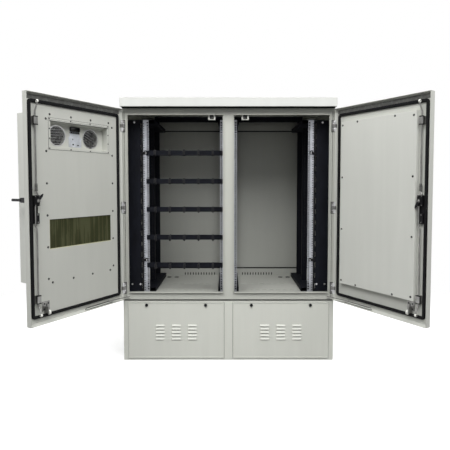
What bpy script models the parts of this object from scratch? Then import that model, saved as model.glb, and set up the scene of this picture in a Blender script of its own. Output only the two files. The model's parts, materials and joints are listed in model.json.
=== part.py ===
"""Outdoor equipment enclosure: a two-bay 19-inch street cabinet on a plinth, both doors open.

Metres, +Z up. The origin is on the ground at the centre of the plinth's footprint. The front
faces -Y, so depths are counted from the front plane towards +Y, and the left door is at -X.
A door's pieces are placed in the door's own frame: u runs from the hinge axis to the free
edge, t from the door's rim plane out to the weather side, and z up from the ground.
"""

import math

import bmesh
import bpy
from mathutils import Matrix, Vector

# Clearances
SEAT = 0.0003          # between pieces that rest on or are fixed to each other
RUN = 0.0005           # around a pin, rod or shaft that moves
SWING = 0.001          # past a piece that swings

# Sheet steel
SHEET = 0.002

# Plinth
PLINTH_OVERHANG = 0.004    # past each side of the body, as the roof
PLINTH_DEPTH = 0.620
PLINTH_HEIGHT = 0.379
PLINTH_FLANGE = 0.050
PLINTH_POST = 0.054    # between the two front covers
COVER_EDGE = 0.029     # steel left outside each front cover
COVER_OVERLAP = 0.010
COVER_FLANGE = 0.012
COVER_BOTTOM = 0.014
COVER_HEAD = 0.015     # from the plinth's top down to its covers
CROSS_WIDTH = 0.120
ANCHOR_RADIUS = 0.009
ANCHOR_EDGE = 0.025    # from the plinth's outside to the middle of each anchor hole

LOUVRE_COLUMNS = 3
LOUVRE_ROWS = 5
LOUVRE_PITCH_X = 0.100
LOUVRE_PITCH_Z = 0.021
LOUVRE_WIDTH = 0.054
LOUVRE_RISE = 0.005
LOUVRE_HEIGHT = 0.010
LOUVRE_CENTRE_Z = 0.178
FASTENER_OFFSET = 0.183
FASTENER_DROP = 0.017
FASTENER_RADIUS = 0.009
FASTENER_RISE = 0.003

# Body
BODY_WIDTH = 1.296
BODY_HEIGHT = 1.2055
BODY_SEAM = 0.0035     # between the plinth and the body's walls
FLOOR_RISE = 0.0285    # from the body's bottom up to the floor
BASE_INSET = 0.006     # the base ring stands back, which leaves the shadow line
REAR_OPEN_WIDTH = 1.200
REAR_FOOT = 0.0805     # body left below and above the rear opening
REAR_HEAD = 0.096
REAR_COVER_DEPTH = 0.018
FLOOR_SLOTS = 9
FLOOR_SLOT_WIDTH = 0.030
FLOOR_SLOT_LENGTH = 0.008
FLOOR_SLOT_PITCH = 0.045
CABLE_HOLE_RADIUS = 0.014
CABLE_HOLES = (0.382, 0.437)   # from the middle of the cabinet
CABLE_HOLE_SETBACK = 0.070     # from the rear wall
REAR_SLOTS = 12
REAR_SLOT_START = 0.105        # the first slot, from the middle of the cabinet
REAR_SLOT_PITCH = 0.020
REAR_SLOT_WIDTH = 0.007
REAR_SLOT_HEIGHT = 0.018
REAR_SLOT_RISE = 0.004         # above the floor

# Front frame: what it leaves beside, between, below and above the doorways
FRAME_SIDE = 0.034
OPENING_IN = 0.034
FRAME_FOOT = 0.0445
FRAME_HEAD = 0.071
MULLION_CHANNEL = (0.020, 0.028)
ROOF_DROP = 0.026      # the hood's rim below the body's top
ROOF_RISE = 0.028
ROOF_FRONT = 0.050
ROOF_REAR = 0.030
ROOF_LIP = 0.012
ROOF_RAIL_X = 0.420
ROOF_RAIL_WIDTH = 0.040

# Doors
HINGE_EDGE = 0.0005    # from the body's side in to the hinge axis
HINGE_OUT = 0.0085     # the hinge axis in front of the frame
RIM_GAP = 0.003        # the closed door's rim in front of the frame
OPEN_ANGLE = math.radians(121.5)
DOOR_START = 0.003     # the hinge-side edge, from the axis
DOOR_MEETING_GAP = 0.004
DOOR_FOOT = -0.001     # from the body's bottom up to the doors
DOOR_HEAD = 0.035      # from the body's top down to the doors
DOOR_THICKNESS = 0.032
LAND_T = 0.019         # depth of the inner panel behind the rim
LAND_INSET = 0.012
GASKET_WIDTH = 0.020
GASKET_THICKNESS = 0.0097
GASKET_SIDE_INSET = 0.0125
GASKET_END_INSET = 0.030
GASKET_EDGE = 0.002
LIP_CLEARANCE = 0.0007

# Hinges
HINGE_FOOT = 0.0735    # from the door's ends to the middle of the end hinges
HINGE_HEAD = 0.103
HINGE_LENGTH = 0.066
KNUCKLE_RADIUS = 0.0055
PIN_RADIUS = 0.003
DOOR_KNUCKLE = 0.021
HINGE_LEAF_WIDTH = 0.022
HINGE_TAB = 0.0125
LEAF_SCREW_RADIUS = 0.003

# 19-inch racks
RACK_SETBACK = 0.088
RACK_DEPTH = 0.455
RACK_OPEN = 0.4505
BAY_INNER_EDGE = 0.0525
RAIL_FLANGE = 0.036
RAIL_SIDE = 0.038
RAIL_HEAD = 0.0884     # from the body's top down to the rails
UNIT = 0.04445
UNITS = 24
UNIT_HOLES = (0.00635, 0.022225, 0.0381)
HOLE_SIZE = 0.0095
HOLE_LINE = 0.0073
LOWEST_UNIT_RISE = 0.0112
POST_SIDE = 0.040
CHANNEL_HEIGHT = 0.025
OUTER_CHANNEL_WIDTH = 0.0727
INNER_CHANNEL_WIDTH = 0.047
CHANNEL_LENGTH = 0.480
CROSSBAR = (0.036, 0.039)

CABLE_PANEL_WIDTH = 0.100
CABLE_PANEL_RETURN = 0.030
PANEL_SLOTS = 16
PANEL_SLOT = (0.004, 0.030)
PANEL_SLOT_X = 0.013

MANAGERS = 5
MANAGER_TOP_RISE = 0.8708  # from the lowest unit to the middle of the top manager
MANAGER_PITCH_UNITS = 4
MANAGER_WIDTH = 0.4826
MANAGER_HEIGHT = 0.031
MANAGER_SHEET = 0.0015
MANAGER_LIP = 0.010
RINGS = 5
RING_PITCH = 0.090
RING_REACH = 0.048
RING_HEIGHT = 0.038
RING_THICKNESS = 0.004
RING_WIDTH = 0.008
RING_GAP = 0.010

SWITCH_X = 0.102
SWITCH_WIDTH = 0.044
SWITCH_DROP = 0.017    # below the doorway's top
SWITCH_HEIGHT = 0.022
SWITCH_DEPTH = 0.026
SWITCH_WALL = 0.0025
SWITCH_TAB = 0.040
SWITCH_BODY_WIDTH = 0.022
PLUNGER_RADIUS = 0.003
PLUNGER_TRAVEL = 0.004
PLUNGER_TIP_GAP = 0.0007

# Air conditioner in the left door
AC_START = 0.062       # the hinge-side edge of the casing
AC_HANDLE_GAP = 0.038
AC_FOOT = 0.1845       # from the door's ends to the casing
AC_HEAD = 0.078
AC_REACH = 0.235
AC_OPEN_INSET = 0.018
AC_FLANGE = 0.012
AC_SLOTS = 11
AC_SLOT_HEIGHT = 0.008
AC_SLOT_PITCH = 0.018
AC_SLOT_MARGIN = 0.060
AC_GRILLE_INSETS = (0.134, 0.235)  # from the casing's ends to the middle of each grille
RECESS_U = (0.108, 0.4995)
RECESS_DROP = 0.045    # from the casing's top down to the recess
RECESS_HEIGHT = 0.142
RECESS_DEPTH = 0.041
RECESS_FLANGE = 0.010
RECESS_SHEET = 0.0012
SOFFIT_DROP = 0.014
FAN_U = (0.200, 0.427)
FAN_RISE = 0.068       # above the recess's bottom
FAN_RADIUS = 0.052
FAN_DEPTH = 0.026
GUARD_SLOTS = 9
GUARD_SLOT = 0.0075
GUARD_PITCH = 0.011
GUARD_TILT = math.radians(-20)
FAN_TIP_GAP = 0.003
FAN_HUB_RADIUS = 0.018
FAN_BLADES = 7
FAN_SHAFT_RADIUS = 0.006
CORE_U = (0.089, 0.513)
CORE_RISE = 0.193      # above the casing's bottom
CORE_HEIGHT = 0.155
CORE_OVERLAP = 0.008
CORE_DEPTH = 0.040
CORE_FINS = 40
CORE_FIN = 0.003
CORE_FIN_DEPTH = 0.012
DISPLAY_U = (0.277, 0.344)
DISPLAY_SPAN = (0.100, 0.124)  # heights above the recess's bottom
DISPLAY_RISE = 0.006
KEYPAD_HEIGHT = 0.012
PLATE_U = (0.265, 0.352)
PLATE_SPAN = (0.013, 0.070)
PLATE_RISE = 0.0012

# Lock gear of each door
LOCK_CLEARANCE = 0.0025 # between the gasket and the gearbox
LOCK_RISE = 0.6325     # above the body's bottom
LOCK_PLATE = 0.003
GEARBOX = (0.029, 0.054)
GEARBOX_RISE = 0.0205
LOCK_BLOCK = (-0.015, 0.003)   # its sides from the spindle, on the left door
LOCK_BLOCK_DROPS = (0.116, 0.064)  # its ends below the spindle
LOCK_BLOCK_RISE = 0.014
SCREW_RADIUS = 0.0035
SCREW_RISE = 0.0015
ROD_RADIUS = 0.004
ROD_T = 0.005
ROD_TRAVEL = 0.016
ROD_START = 0.010      # from the spindle's axis to the rod's inner end
ROD_OFFSET = 0.008     # the rods leave the lock on opposite sides of the spindle
ROD_BENDS = (0.031, 0.045, 0.125, 0.143)
COUPLER = (0.008, 0.036)
COUPLER_RISE = 0.067
GUIDE_HALF = 0.011
GUIDE_HEIGHT = 0.042
GUIDE_ROOF = 0.003
GUIDE_INSETS = (0.088, 0.103)  # from the doorway's ends to the middle of each guide
ROLLER_T = -0.0145
ROLLER_RADIUS = 0.008
ROLLER_WIDTH = 0.009
ROLLER_CLEARANCE = 0.002
CRANK_START = 0.047
CRANK_END = 0.012
SPINDLE_RADIUS = 0.006
CAM_T = -0.006
CAM_THICKNESS = 0.004
CAM_HUB = 0.011
CAM_LENGTH = 0.044
CAM_WIDTH = 0.013
CAM_ANGLES = {-1: math.radians(50), 1: math.radians(62)}

# Outside handle
HANDLE_BASE = (0.036, 0.190)
HANDLE_BASE_RISE = 0.006
HANDLE_BASE_DROP = 0.062
YOKE_RADIUS = 0.017
YOKE_PLATE = 0.0035
YOKE_CHEEK = 0.004
LEVER_PIVOT_RISE = 0.019
LEVER_PIN_RADIUS = 0.003
LEVER_EYE_RADIUS = 0.0075
LEVER_LENGTH = 0.156
LEVER_HEAD_LENGTH = 0.090
LEVER_HEAD_WIDTH = 0.026
LEVER_GRIP_WIDTH = 0.014
LEVER_THICKNESS = 0.010
LEVER_HOLE_RADIUS = 0.005
LEVER_HOLE_AT = 0.076

# Lifter wheel that carries the closing door over the sill
LIFTER_U = 0.546
LIFTER_WHEEL_RADIUS = 0.012
LIFTER_WHEEL_WIDTH = 0.0095
LIFTER_WHEEL_T = -0.010
LIFTER_RISE = 0.0015
LIFTER_CHEEK = 0.004
LIFTER_PLATE = (0.044, 0.048)
LIFTER_AXLE_RADIUS = 0.003

# Door stays
STAY_PIVOT_X = 0.617
STAY_PIVOT_OUT = 0.007
STAY_RISE = 0.0175     # above the body's bottom
STAY_THICKNESS = 0.003
STAY_WIDTH = 0.010
STAY_EYE_RADIUS = 0.006
STAY_PIN_RADIUS = 0.0022
STAY_REACH_U = 0.128   # where the arm's end meets the track on the open door
STAY_END_T = 0.004
STAY_KNOB_RADIUS = 0.005
TRACK_U = (0.116, 0.286)
TRACK_THICKNESS = 0.004
TRACK_GAP = 0.0015
TRACK_T = 0.003
TRACK_SLOT = 0.005

# Cover box inside the right door
BOX_U = (0.059, 0.577)
BOX_FOOT = 0.1165      # from the door's ends to the cover box
BOX_HEAD = 0.083
BOX_RISE = 0.0237
BOX_TAPER = 0.004

# Screws that show on the doors
AC_SCREW_U = (0.070, 0.524)
AC_SCREWS = 6
AC_SCREW_FOOT = 0.040      # from the casing's ends to the end screws of each column
AC_SCREW_HEAD = 0.0425
AC_SCREW_ROW_U = (0.097, 0.2315, 0.366, 0.500)
AC_SCREW_ROW_INSET = 0.0175
BOX_SCREW_U = (0.0745, 0.5568)
BOX_SCREW_FOOT = 0.0235
BOX_SCREW_HEAD = 0.0255
BOX_SCREW_GAP = 0.3226     # between the two middle screws of each column
BOX_SCREW_ROW_U = (0.187, 0.443)
BOX_SCREW_ROW_INSETS = (0.013, 0.0155)

# Derived levels
BODY_BOTTOM = PLINTH_HEIGHT + BODY_SEAM
BODY_TOP = BODY_BOTTOM + BODY_HEIGHT
COVER_TOP = PLINTH_HEIGHT - COVER_HEAD
FLOOR_TOP = BODY_BOTTOM + FLOOR_RISE
REAR_OPEN_BOTTOM = BODY_BOTTOM + REAR_FOOT
REAR_OPEN_TOP = BODY_TOP - REAR_HEAD
OPENING_BOTTOM = BODY_BOTTOM + FRAME_FOOT
OPENING_TOP = BODY_TOP - FRAME_HEAD
ROOF_BOTTOM = BODY_TOP - ROOF_DROP
ROOF_TOP = BODY_TOP + ROOF_RISE
DOOR_BOTTOM = BODY_BOTTOM + DOOR_FOOT
DOOR_TOP = BODY_TOP - DOOR_HEAD
HINGE_LOW, HINGE_HIGH = DOOR_BOTTOM + HINGE_FOOT, DOOR_TOP - HINGE_HEAD
HINGE_HEIGHTS = (HINGE_LOW, (HINGE_LOW + HINGE_HIGH) / 2, HINGE_HIGH)
RACK_BOTTOM = FLOOR_TOP + SEAT
RAIL_TOP = BODY_TOP - RAIL_HEAD
LOWEST_UNIT_Z = FLOOR_TOP + LOWEST_UNIT_RISE
MANAGER_TOP_Z = LOWEST_UNIT_Z + MANAGER_TOP_RISE
SWITCH_Z = OPENING_TOP - SWITCH_DROP
AC_HEIGHTS = (DOOR_BOTTOM + AC_FOOT, DOOR_TOP - AC_HEAD)
AC_GRILLE_HEIGHTS = (AC_HEIGHTS[0] + AC_GRILLE_INSETS[0], AC_HEIGHTS[1] - AC_GRILLE_INSETS[1])
RECESS_TOP = AC_HEIGHTS[1] - RECESS_DROP
RECESS_Z = (RECESS_TOP - RECESS_HEIGHT, RECESS_TOP)
FAN_Z = RECESS_Z[0] + FAN_RISE
DISPLAY_Z = tuple(RECESS_Z[0] + rise for rise in DISPLAY_SPAN)
PLATE_Z = tuple(RECESS_Z[0] + rise for rise in PLATE_SPAN)
CORE_Z = (AC_HEIGHTS[0] + CORE_RISE, AC_HEIGHTS[0] + CORE_RISE + CORE_HEIGHT)
LOCK_Z = BODY_BOTTOM + LOCK_RISE
LOCK_BLOCK_Z = tuple(LOCK_Z - drop for drop in LOCK_BLOCK_DROPS)
COUPLER_Z = LOCK_Z + COUPLER_RISE
GUIDE_Z = (OPENING_BOTTOM + GUIDE_INSETS[0], OPENING_TOP - GUIDE_INSETS[1])
STAY_Z = BODY_BOTTOM + STAY_RISE
BOX_Z = (DOOR_BOTTOM + BOX_FOOT, DOOR_TOP - BOX_HEAD)

# Derived places
PLINTH_WIDTH = ROOF_WIDTH = BODY_WIDTH + 2 * PLINTH_OVERHANG
OPENING_OUT = BODY_WIDTH / 2 - FRAME_SIDE
HINGE_X = BODY_WIDTH / 2 - HINGE_EDGE
FRONT_Y = -PLINTH_DEPTH / 2
BODY_DEPTH = PLINTH_DEPTH - REAR_COVER_DEPTH - SHEET
RIM_Y = HINGE_OUT - RIM_GAP
DOOR_END = HINGE_X - DOOR_MEETING_GAP / 2
LOCK_U = DOOR_END - GASKET_SIDE_INSET - GASKET_WIDTH - LOCK_CLEARANCE - GEARBOX[0] / 2
AC_EDGE = (AC_START, LOCK_U - HANDLE_BASE[0] / 2 - AC_HANDLE_GAP)
INNER_T = LAND_T + SHEET
SKIN_T = DOOR_THICKNESS - SHEET
LIP_REACH = RIM_GAP + LAND_T - SEAT - GASKET_THICKNESS - LIP_CLEARANCE
BAY_CENTRE = BAY_INNER_EDGE + RACK_OPEN / 2
BAY_OUTER_EDGE = BAY_INNER_EDGE + RACK_OPEN
RECESS_T = LAND_T + RECESS_DEPTH

WELD = 2e-6            # points nearer than this are one point
FLAT = math.radians(0.02)

PAINT = (0.56, 0.565, 0.53)
ROOF_PAINT = (0.70, 0.71, 0.68)
DARK_STEEL = (0.014, 0.016, 0.022)
ZINC = (0.42, 0.43, 0.46)
BLACK = (0.008, 0.008, 0.008)
NYLON = (0.72, 0.72, 0.68)
FIN_METAL = (0.045, 0.048, 0.02)


def clear_scene():
    for obj in list(bpy.data.objects):
        bpy.data.objects.remove(obj, do_unlink=True)


def finish(name, colour, roughness=0.45, metallic=0.0):
    material = bpy.data.materials.new(name)
    material.use_nodes = True
    shader = material.node_tree.nodes["Principled BSDF"]
    shader.inputs["Base Color"].default_value = (*colour, 1.0)
    shader.inputs["Roughness"].default_value = roughness
    shader.inputs["Metallic"].default_value = metallic
    material.diffuse_color = (*colour, 1.0)
    return material


def paint(name, colour=PAINT):
    return finish(name, colour, 0.42)


def empty(name, location, parent=None, turn=0.0):
    holder = bpy.data.objects.new(name, None)
    holder.empty_display_size = 0.05
    holder.location = location
    holder.rotation_euler = (0.0, 0.0, turn)
    holder.parent = parent
    bpy.context.collection.objects.link(holder)
    return holder


def mesh_object(name, bm, parent):
    bmesh.ops.recalc_face_normals(bm, faces=bm.faces)
    mesh = bpy.data.meshes.new(name)
    bm.to_mesh(mesh)
    bm.free()
    obj = bpy.data.objects.new(name, mesh)
    obj.parent = parent
    bpy.context.collection.objects.link(obj)
    return obj


def boolean(obj, other, operation, title):
    other.hide_render = True
    other.display_type = "WIRE"
    modifier = obj.modifiers.new(title, "BOOLEAN")
    modifier.operation = operation
    modifier.solver = "EXACT"
    modifier.use_self = True
    modifier.object = other


def build(name, material, parent, shapes, cuts=(), origin=(0.0, 0.0, 0.0)):
    """One node: the shapes welded together, less the cuts. Each is a function that fills a bmesh.

    The first shape is the object's own mesh. The rest are welded on by one Boolean and the cuts
    are taken away by another, from helpers that don't render. origin moves the object's own
    origin, without moving its shape."""
    shift = Matrix.Translation(-Vector(origin))

    def made(title, parts):
        bm = bmesh.new()
        for shape in parts:
            shape(bm)
        bm.transform(shift)
        made_object = mesh_object(title, bm, parent)
        made_object.location = origin
        return made_object

    obj = made(name, shapes[:1])
    obj.data.materials.append(material)
    if shapes[1:]:
        boolean(obj, made(name + "_welds", shapes[1:]), "UNION", "Weld")
    if cuts:
        boolean(obj, made(name + "_cuts", cuts), "DIFFERENCE", "Cut")
    return obj


# Shapes


def box(x, y, z):
    """A box from three (low, high) pairs."""
    size = [max(pair) - min(pair) for pair in (x, y, z)]
    centre = [sum(pair) / 2 for pair in (x, y, z)]
    place = Matrix.Translation(centre) @ Matrix.Diagonal((*size, 1.0))
    return lambda bm: bmesh.ops.create_cube(bm, size=1.0, matrix=place)


def bar(start, end, radius, sides=16, end_radius=None):
    """A round bar from start to end."""
    start, end = Vector(start), Vector(end)
    along = end - start
    turn = along.to_track_quat("Z", "Y").to_matrix().to_4x4()
    place = Matrix.Translation((start + end) / 2) @ turn
    top = radius if end_radius is None else end_radius
    return lambda bm: bmesh.ops.create_cone(
        bm, cap_ends=True, segments=sides, radius1=radius, radius2=top, depth=along.length, matrix=place
    )


def loft(loops, closed=False):
    """Loops of as many points each, joined in turn. It is capped, or closed on itself."""

    def fill(bm):
        rings = [[bm.verts.new(point) for point in loop] for loop in loops]
        pairs = list(zip(rings, rings[1:]))
        if closed:
            pairs.append((rings[-1], rings[0]))
        else:
            bm.faces.new(rings[0])
            bm.faces.new(rings[-1])
        for low, high in pairs:
            for i in range(len(low)):
                j = (i + 1) % len(low)
                bm.faces.new((low[i], low[j], high[j], high[i]))

    return fill


def tube(points, radius, sides=8):
    """A round rod along a bent path, mitred at its bends."""
    points = [Vector(point) for point in points]
    loops = []
    across = None
    for i, point in enumerate(points):
        back = (point - points[i - 1]).normalized() if i else None
        ahead = (points[i + 1] - point).normalized() if i + 1 < len(points) else None
        along = (back or ahead) + (ahead or back)
        along.normalize()
        run = ahead or back
        if across is None:
            across = run.orthogonal().normalized()
        side = across.cross(run).normalized()
        across = run.cross(side).normalized()
        loop = []
        for k in range(sides):
            turn = 2 * math.pi * (k + 0.5) / sides
            offset = radius * (math.cos(turn) * across + math.sin(turn) * side)
            loop.append(point + offset - run * (offset.dot(along) / run.dot(along)))
        loops.append(loop)
    return loft(loops)


def prism(outline, place):
    """An outline of (a, b) points pushed between two levels: place(a, b, level) gives a point."""
    return loft([[place(a, b, level) for a, b in outline] for level in (0, 1)])


def rounded(half_a, half_b, radius, steps=3):
    """A rectangle's outline about 0, 0 with round corners."""
    points = []
    for turn, a, b in ((0, 1, 1), (1, -1, 1), (2, -1, -1), (3, 1, -1)):
        for k in range(steps + 1):
            angle = (turn + k / steps) * math.pi / 2
            points.append(
                (
                    a * (half_a - radius) + radius * math.cos(angle),
                    b * (half_b - radius) + radius * math.sin(angle),
                )
            )
    return points


# Fixed parts


def louvre_centres():
    for column in range(LOUVRE_COLUMNS):
        for row in range(LOUVRE_ROWS):
            yield (
                (column - (LOUVRE_COLUMNS - 1) / 2) * LOUVRE_PITCH_X,
                LOUVRE_CENTRE_Z + (row - (LOUVRE_ROWS - 1) / 2) * LOUVRE_PITCH_Z,
            )


def louvre(x, z, face_y):
    """A pressed hood, open below."""
    top, bottom = z + LOUVRE_HEIGHT / 2, z - LOUVRE_HEIGHT / 2
    low, high = x - LOUVRE_WIDTH / 2, x + LOUVRE_WIDTH / 2
    root = face_y + SHEET / 2
    outline = ((root, top), (face_y, top), (face_y - LOUVRE_RISE, bottom), (root, bottom))
    return prism(outline, lambda y, level_z, level: ((low, high)[level], y, level_z))


def louvre_hollow(x, z, face_y, wall):
    top, bottom = z + LOUVRE_HEIGHT / 2 - wall, z - LOUVRE_HEIGHT / 2 - wall
    low, high = x - LOUVRE_WIDTH / 2 + wall, x + LOUVRE_WIDTH / 2 - wall
    back = face_y + 2 * SHEET
    outline = ((back, top), (face_y, top), (face_y - LOUVRE_RISE, bottom), (back, bottom))
    return prism(outline, lambda y, level_z, level: ((low, high)[level], y, level_z))


def cover_span(side):
    """The (inner, outer) edges of a plinth cover."""
    return side * PLINTH_POST / 2, side * (PLINTH_WIDTH / 2 - COVER_EDGE)


def make_plinth(root):
    half, deep, high = PLINTH_WIDTH / 2, PLINTH_DEPTH, PLINTH_HEIGHT
    shapes = [box((-half, half), (0, deep), (0, high))]
    cuts = [box((SHEET - half, half - SHEET), (SHEET, deep - SHEET), (SHEET, high - SHEET))]
    for side in (-1, 1):
        for y in (ANCHOR_EDGE, deep - ANCHOR_EDGE):
            x = side * (half - ANCHOR_EDGE)
            cuts.append(bar((x, y, -SHEET), (x, y, 2 * SHEET), ANCHOR_RADIUS, 24))
        inner, outer = side * CROSS_WIDTH / 2, side * (half - PLINTH_FLANGE)
        for low, top in ((-SHEET, 2 * SHEET), (high - 2 * SHEET, high + SHEET)):
            cuts.append(box((inner, outer), (PLINTH_FLANGE, deep - PLINTH_FLANGE), (low, top)))
        inner, outer = cover_span(side)
        cuts.append(
            box(
                (inner + side * COVER_OVERLAP, outer - side * COVER_OVERLAP),
                (-SHEET, 2 * SHEET),
                (COVER_BOTTOM + COVER_OVERLAP, COVER_TOP - COVER_OVERLAP),
            )
        )
    build("plinth_frame", paint("plinth_paint"), root, shapes, cuts)
    for side, name in ((-1, "left"), (1, "right")):
        make_plinth_cover(root, side, name)


def make_plinth_cover(root, side, name):
    inner, outer = cover_span(side)
    middle, half = (inner + outer) / 2, abs(outer - inner) / 2
    face = -SEAT - SHEET
    back = -SEAT
    shapes = [box((inner, outer), (face, back), (COVER_BOTTOM, COVER_TOP))]
    reach = half - COVER_OVERLAP - SWING
    low, high = COVER_BOTTOM + COVER_OVERLAP + SWING, COVER_TOP - COVER_OVERLAP - SWING
    flange = (back - SHEET / 2, COVER_FLANGE)
    for end in (-1, 1):
        edge = middle + end * reach
        shapes.append(box((edge, edge - end * SHEET), flange, (low, high)))
    shapes.append(box((middle - reach, middle + reach), flange, (low, low + SHEET)))
    shapes.append(box((middle - reach, middle + reach), flange, (high - SHEET, high)))
    for x, z in louvre_centres():
        shapes.append(louvre(middle + x, z, face))
    for end in (-1, 1):
        x, z = middle + end * FASTENER_OFFSET, COVER_TOP - FASTENER_DROP
        start, tip = (x, back - SHEET / 2, z), (x, face - FASTENER_RISE, z)
        shapes.append(bar(start, tip, FASTENER_RADIUS, 12))
    cuts = [louvre_hollow(middle + x, z, face, SHEET * 0.6) for x, z in louvre_centres()]
    build("plinth_cover_" + name, paint("cover_paint_" + name), root, shapes, cuts)


def make_body(root):
    half = BODY_WIDTH / 2
    front = SHEET + SEAT
    inside = half - SHEET
    base_low = PLINTH_HEIGHT + SEAT
    shapes = [box((-half, half), (front, BODY_DEPTH), (BODY_BOTTOM, BODY_TOP))]
    shapes.append(
        box(
            (BASE_INSET - half, half - BASE_INSET),
            (front + BASE_INSET, BODY_DEPTH - BASE_INSET),
            (base_low, BODY_BOTTOM + SHEET),
        )
    )
    cuts = [
        box((-inside, inside), (front - SHEET, BODY_DEPTH - SHEET), (FLOOR_TOP, BODY_TOP - SHEET)),
        box(
            (-REAR_OPEN_WIDTH / 2, REAR_OPEN_WIDTH / 2),
            (BODY_DEPTH - 2 * SHEET, BODY_DEPTH + SHEET),
            (REAR_OPEN_BOTTOM, REAR_OPEN_TOP),
        ),
        box(
            (PLINTH_FLANGE - half, half - PLINTH_FLANGE),
            (PLINTH_FLANGE, BODY_DEPTH - PLINTH_FLANGE),
            (base_low - SHEET, BODY_BOTTOM + 2 * SHEET),
        ),
        box(
            (-inside, inside),
            (front + SHEET, BODY_DEPTH - SHEET),
            (BODY_BOTTOM + SHEET, FLOOR_TOP - SHEET),
        ),
    ]
    for side in (-1, 1):
        for k in range(FLOOR_SLOTS):
            x = side * BAY_CENTRE + (k - (FLOOR_SLOTS - 1) / 2) * FLOOR_SLOT_PITCH
            for y in (RACK_SETBACK + POST_SIDE, RACK_SETBACK + RACK_DEPTH / 2):
                cuts.append(
                    box(
                        (x - FLOOR_SLOT_WIDTH / 2, x + FLOOR_SLOT_WIDTH / 2),
                        (y, y + FLOOR_SLOT_LENGTH),
                        (FLOOR_TOP - 2 * SHEET, FLOOR_TOP + SHEET),
                    )
                )
        cuts += rear_vents(side)
    build("cabinet_body", paint("body_paint"), root, shapes, cuts)


def rear_vents(side):
    """A bay's round cable holes in the floor, and its row of slots low in the rear wall."""
    cuts = []
    y = BODY_DEPTH - CABLE_HOLE_SETBACK
    for x in CABLE_HOLES:
        ends = [(side * x, y, FLOOR_TOP + step) for step in (-2 * SHEET, SHEET)]
        cuts.append(bar(*ends, CABLE_HOLE_RADIUS, 20))
    low = FLOOR_TOP + REAR_SLOT_RISE
    for k in range(REAR_SLOTS):
        x = side * (REAR_SLOT_START + k * REAR_SLOT_PITCH)
        cuts.append(
            box(
                (x - REAR_SLOT_WIDTH / 2, x + REAR_SLOT_WIDTH / 2),
                (BODY_DEPTH - 2 * SHEET, BODY_DEPTH + SHEET),
                (low, low + REAR_SLOT_HEIGHT),
            )
        )
    return cuts


def make_front_frame(root):
    half = BODY_WIDTH / 2
    wide, deep = MULLION_CHANNEL
    shapes = [box((-half, half), (0, SHEET), (BODY_BOTTOM, BODY_TOP))]
    cuts = []
    for side in (-1, 1):
        inner, outer = side * (OPENING_IN - SHEET), side * (OPENING_OUT + SHEET)
        shapes.append(
            box((inner, outer), (-LIP_REACH, SHEET / 2), (OPENING_BOTTOM - SHEET, OPENING_TOP + SHEET))
        )
        shapes.append(
            box(
                (side * wide / 2, side * (wide / 2 - SHEET)),
                (SHEET / 2, SHEET + deep),
                (FLOOR_TOP + SEAT, BODY_TOP - SHEET - SEAT),
            )
        )
        shapes += stay_bracket(side)
        cuts.append(
            box(
                (side * OPENING_IN, side * OPENING_OUT),
                (-2 * LIP_REACH, 2 * SHEET),
                (OPENING_BOTTOM, OPENING_TOP),
            )
        )
    build("front_frame", paint("frame_paint"), root, shapes, cuts)


def stay_bracket(side):
    """The plate and pin on the frame that a door stay turns on."""
    x, y = side * STAY_PIVOT_X, -STAY_PIVOT_OUT
    low = STAY_Z - TRACK_THICKNESS - SWING
    return [
        box(
            (x - STAY_EYE_RADIUS, x + STAY_EYE_RADIUS),
            (y - STAY_EYE_RADIUS, SHEET / 2),
            (low, STAY_Z - SEAT),
        ),
        bar((x, y, low + SEAT), (x, y, STAY_Z + 2 * STAY_THICKNESS), STAY_PIN_RADIUS, 10),
    ]


def make_rear_cover(root):
    half = BODY_WIDTH / 2
    near = BODY_DEPTH + SEAT
    shapes = [box((-half, half), (near, near + REAR_COVER_DEPTH), (BODY_BOTTOM, BODY_TOP))]
    for x in (-half + 2 * PLINTH_FLANGE, half - 2 * PLINTH_FLANGE):
        for z in (REAR_OPEN_BOTTOM, (REAR_OPEN_BOTTOM + REAR_OPEN_TOP) / 2, REAR_OPEN_TOP):
            far = near + REAR_COVER_DEPTH
            shapes.append(bar((x, far - SHEET / 2, z), (x, far + FASTENER_RISE, z), FASTENER_RADIUS, 12))
    cuts = [
        box(
            (SHEET - half, half - SHEET),
            (near - SHEET, near + REAR_COVER_DEPTH - SHEET),
            (BODY_BOTTOM + SHEET, BODY_TOP - SHEET),
        )
    ]
    build("rear_cover", paint("rear_paint"), root, shapes, cuts)


def make_roof(root):
    half = ROOF_WIDTH / 2
    front, rear = -ROOF_FRONT, BODY_DEPTH + REAR_COVER_DEPTH + ROOF_REAR
    shapes = [box((-half, half), (front, rear), (ROOF_BOTTOM, ROOF_TOP))]
    rest = BODY_TOP + SEAT
    rail_ends = (ROOF_FRONT, BODY_DEPTH - ROOF_FRONT)
    for side in (-1, 1):
        for edge in (-1, 1):
            x = side * ROOF_RAIL_X + edge * ROOF_RAIL_WIDTH / 2
            shapes.append(box((x, x - edge * SHEET), rail_ends, (rest, ROOF_TOP - SHEET / 2)))
    cuts = [
        box(
            (SHEET - half, half - SHEET),
            (front + SHEET, rear - SHEET),
            (ROOF_BOTTOM + SHEET, ROOF_TOP - SHEET),
        ),
        box(
            (SHEET - half, half - SHEET),
            (front + ROOF_LIP, rear - ROOF_LIP),
            (ROOF_BOTTOM - SHEET, ROOF_BOTTOM + 2 * SHEET),
        ),
    ]
    # The hood's hollow is cut before its rails are welded in.
    hood = shapes[:1]
    obj = build("roof_cover", paint("roof_paint", ROOF_PAINT), root, hood, cuts)
    bm = bmesh.new()
    for shape in shapes[1:]:
        shape(bm)
    boolean(obj, mesh_object("roof_cover_rails", bm, root), "UNION", "Rails")


# Racks


def hole_heights():
    for unit in range(UNITS):
        for rise in UNIT_HOLES:
            yield LOWEST_UNIT_Z + unit * UNIT + rise


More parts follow.
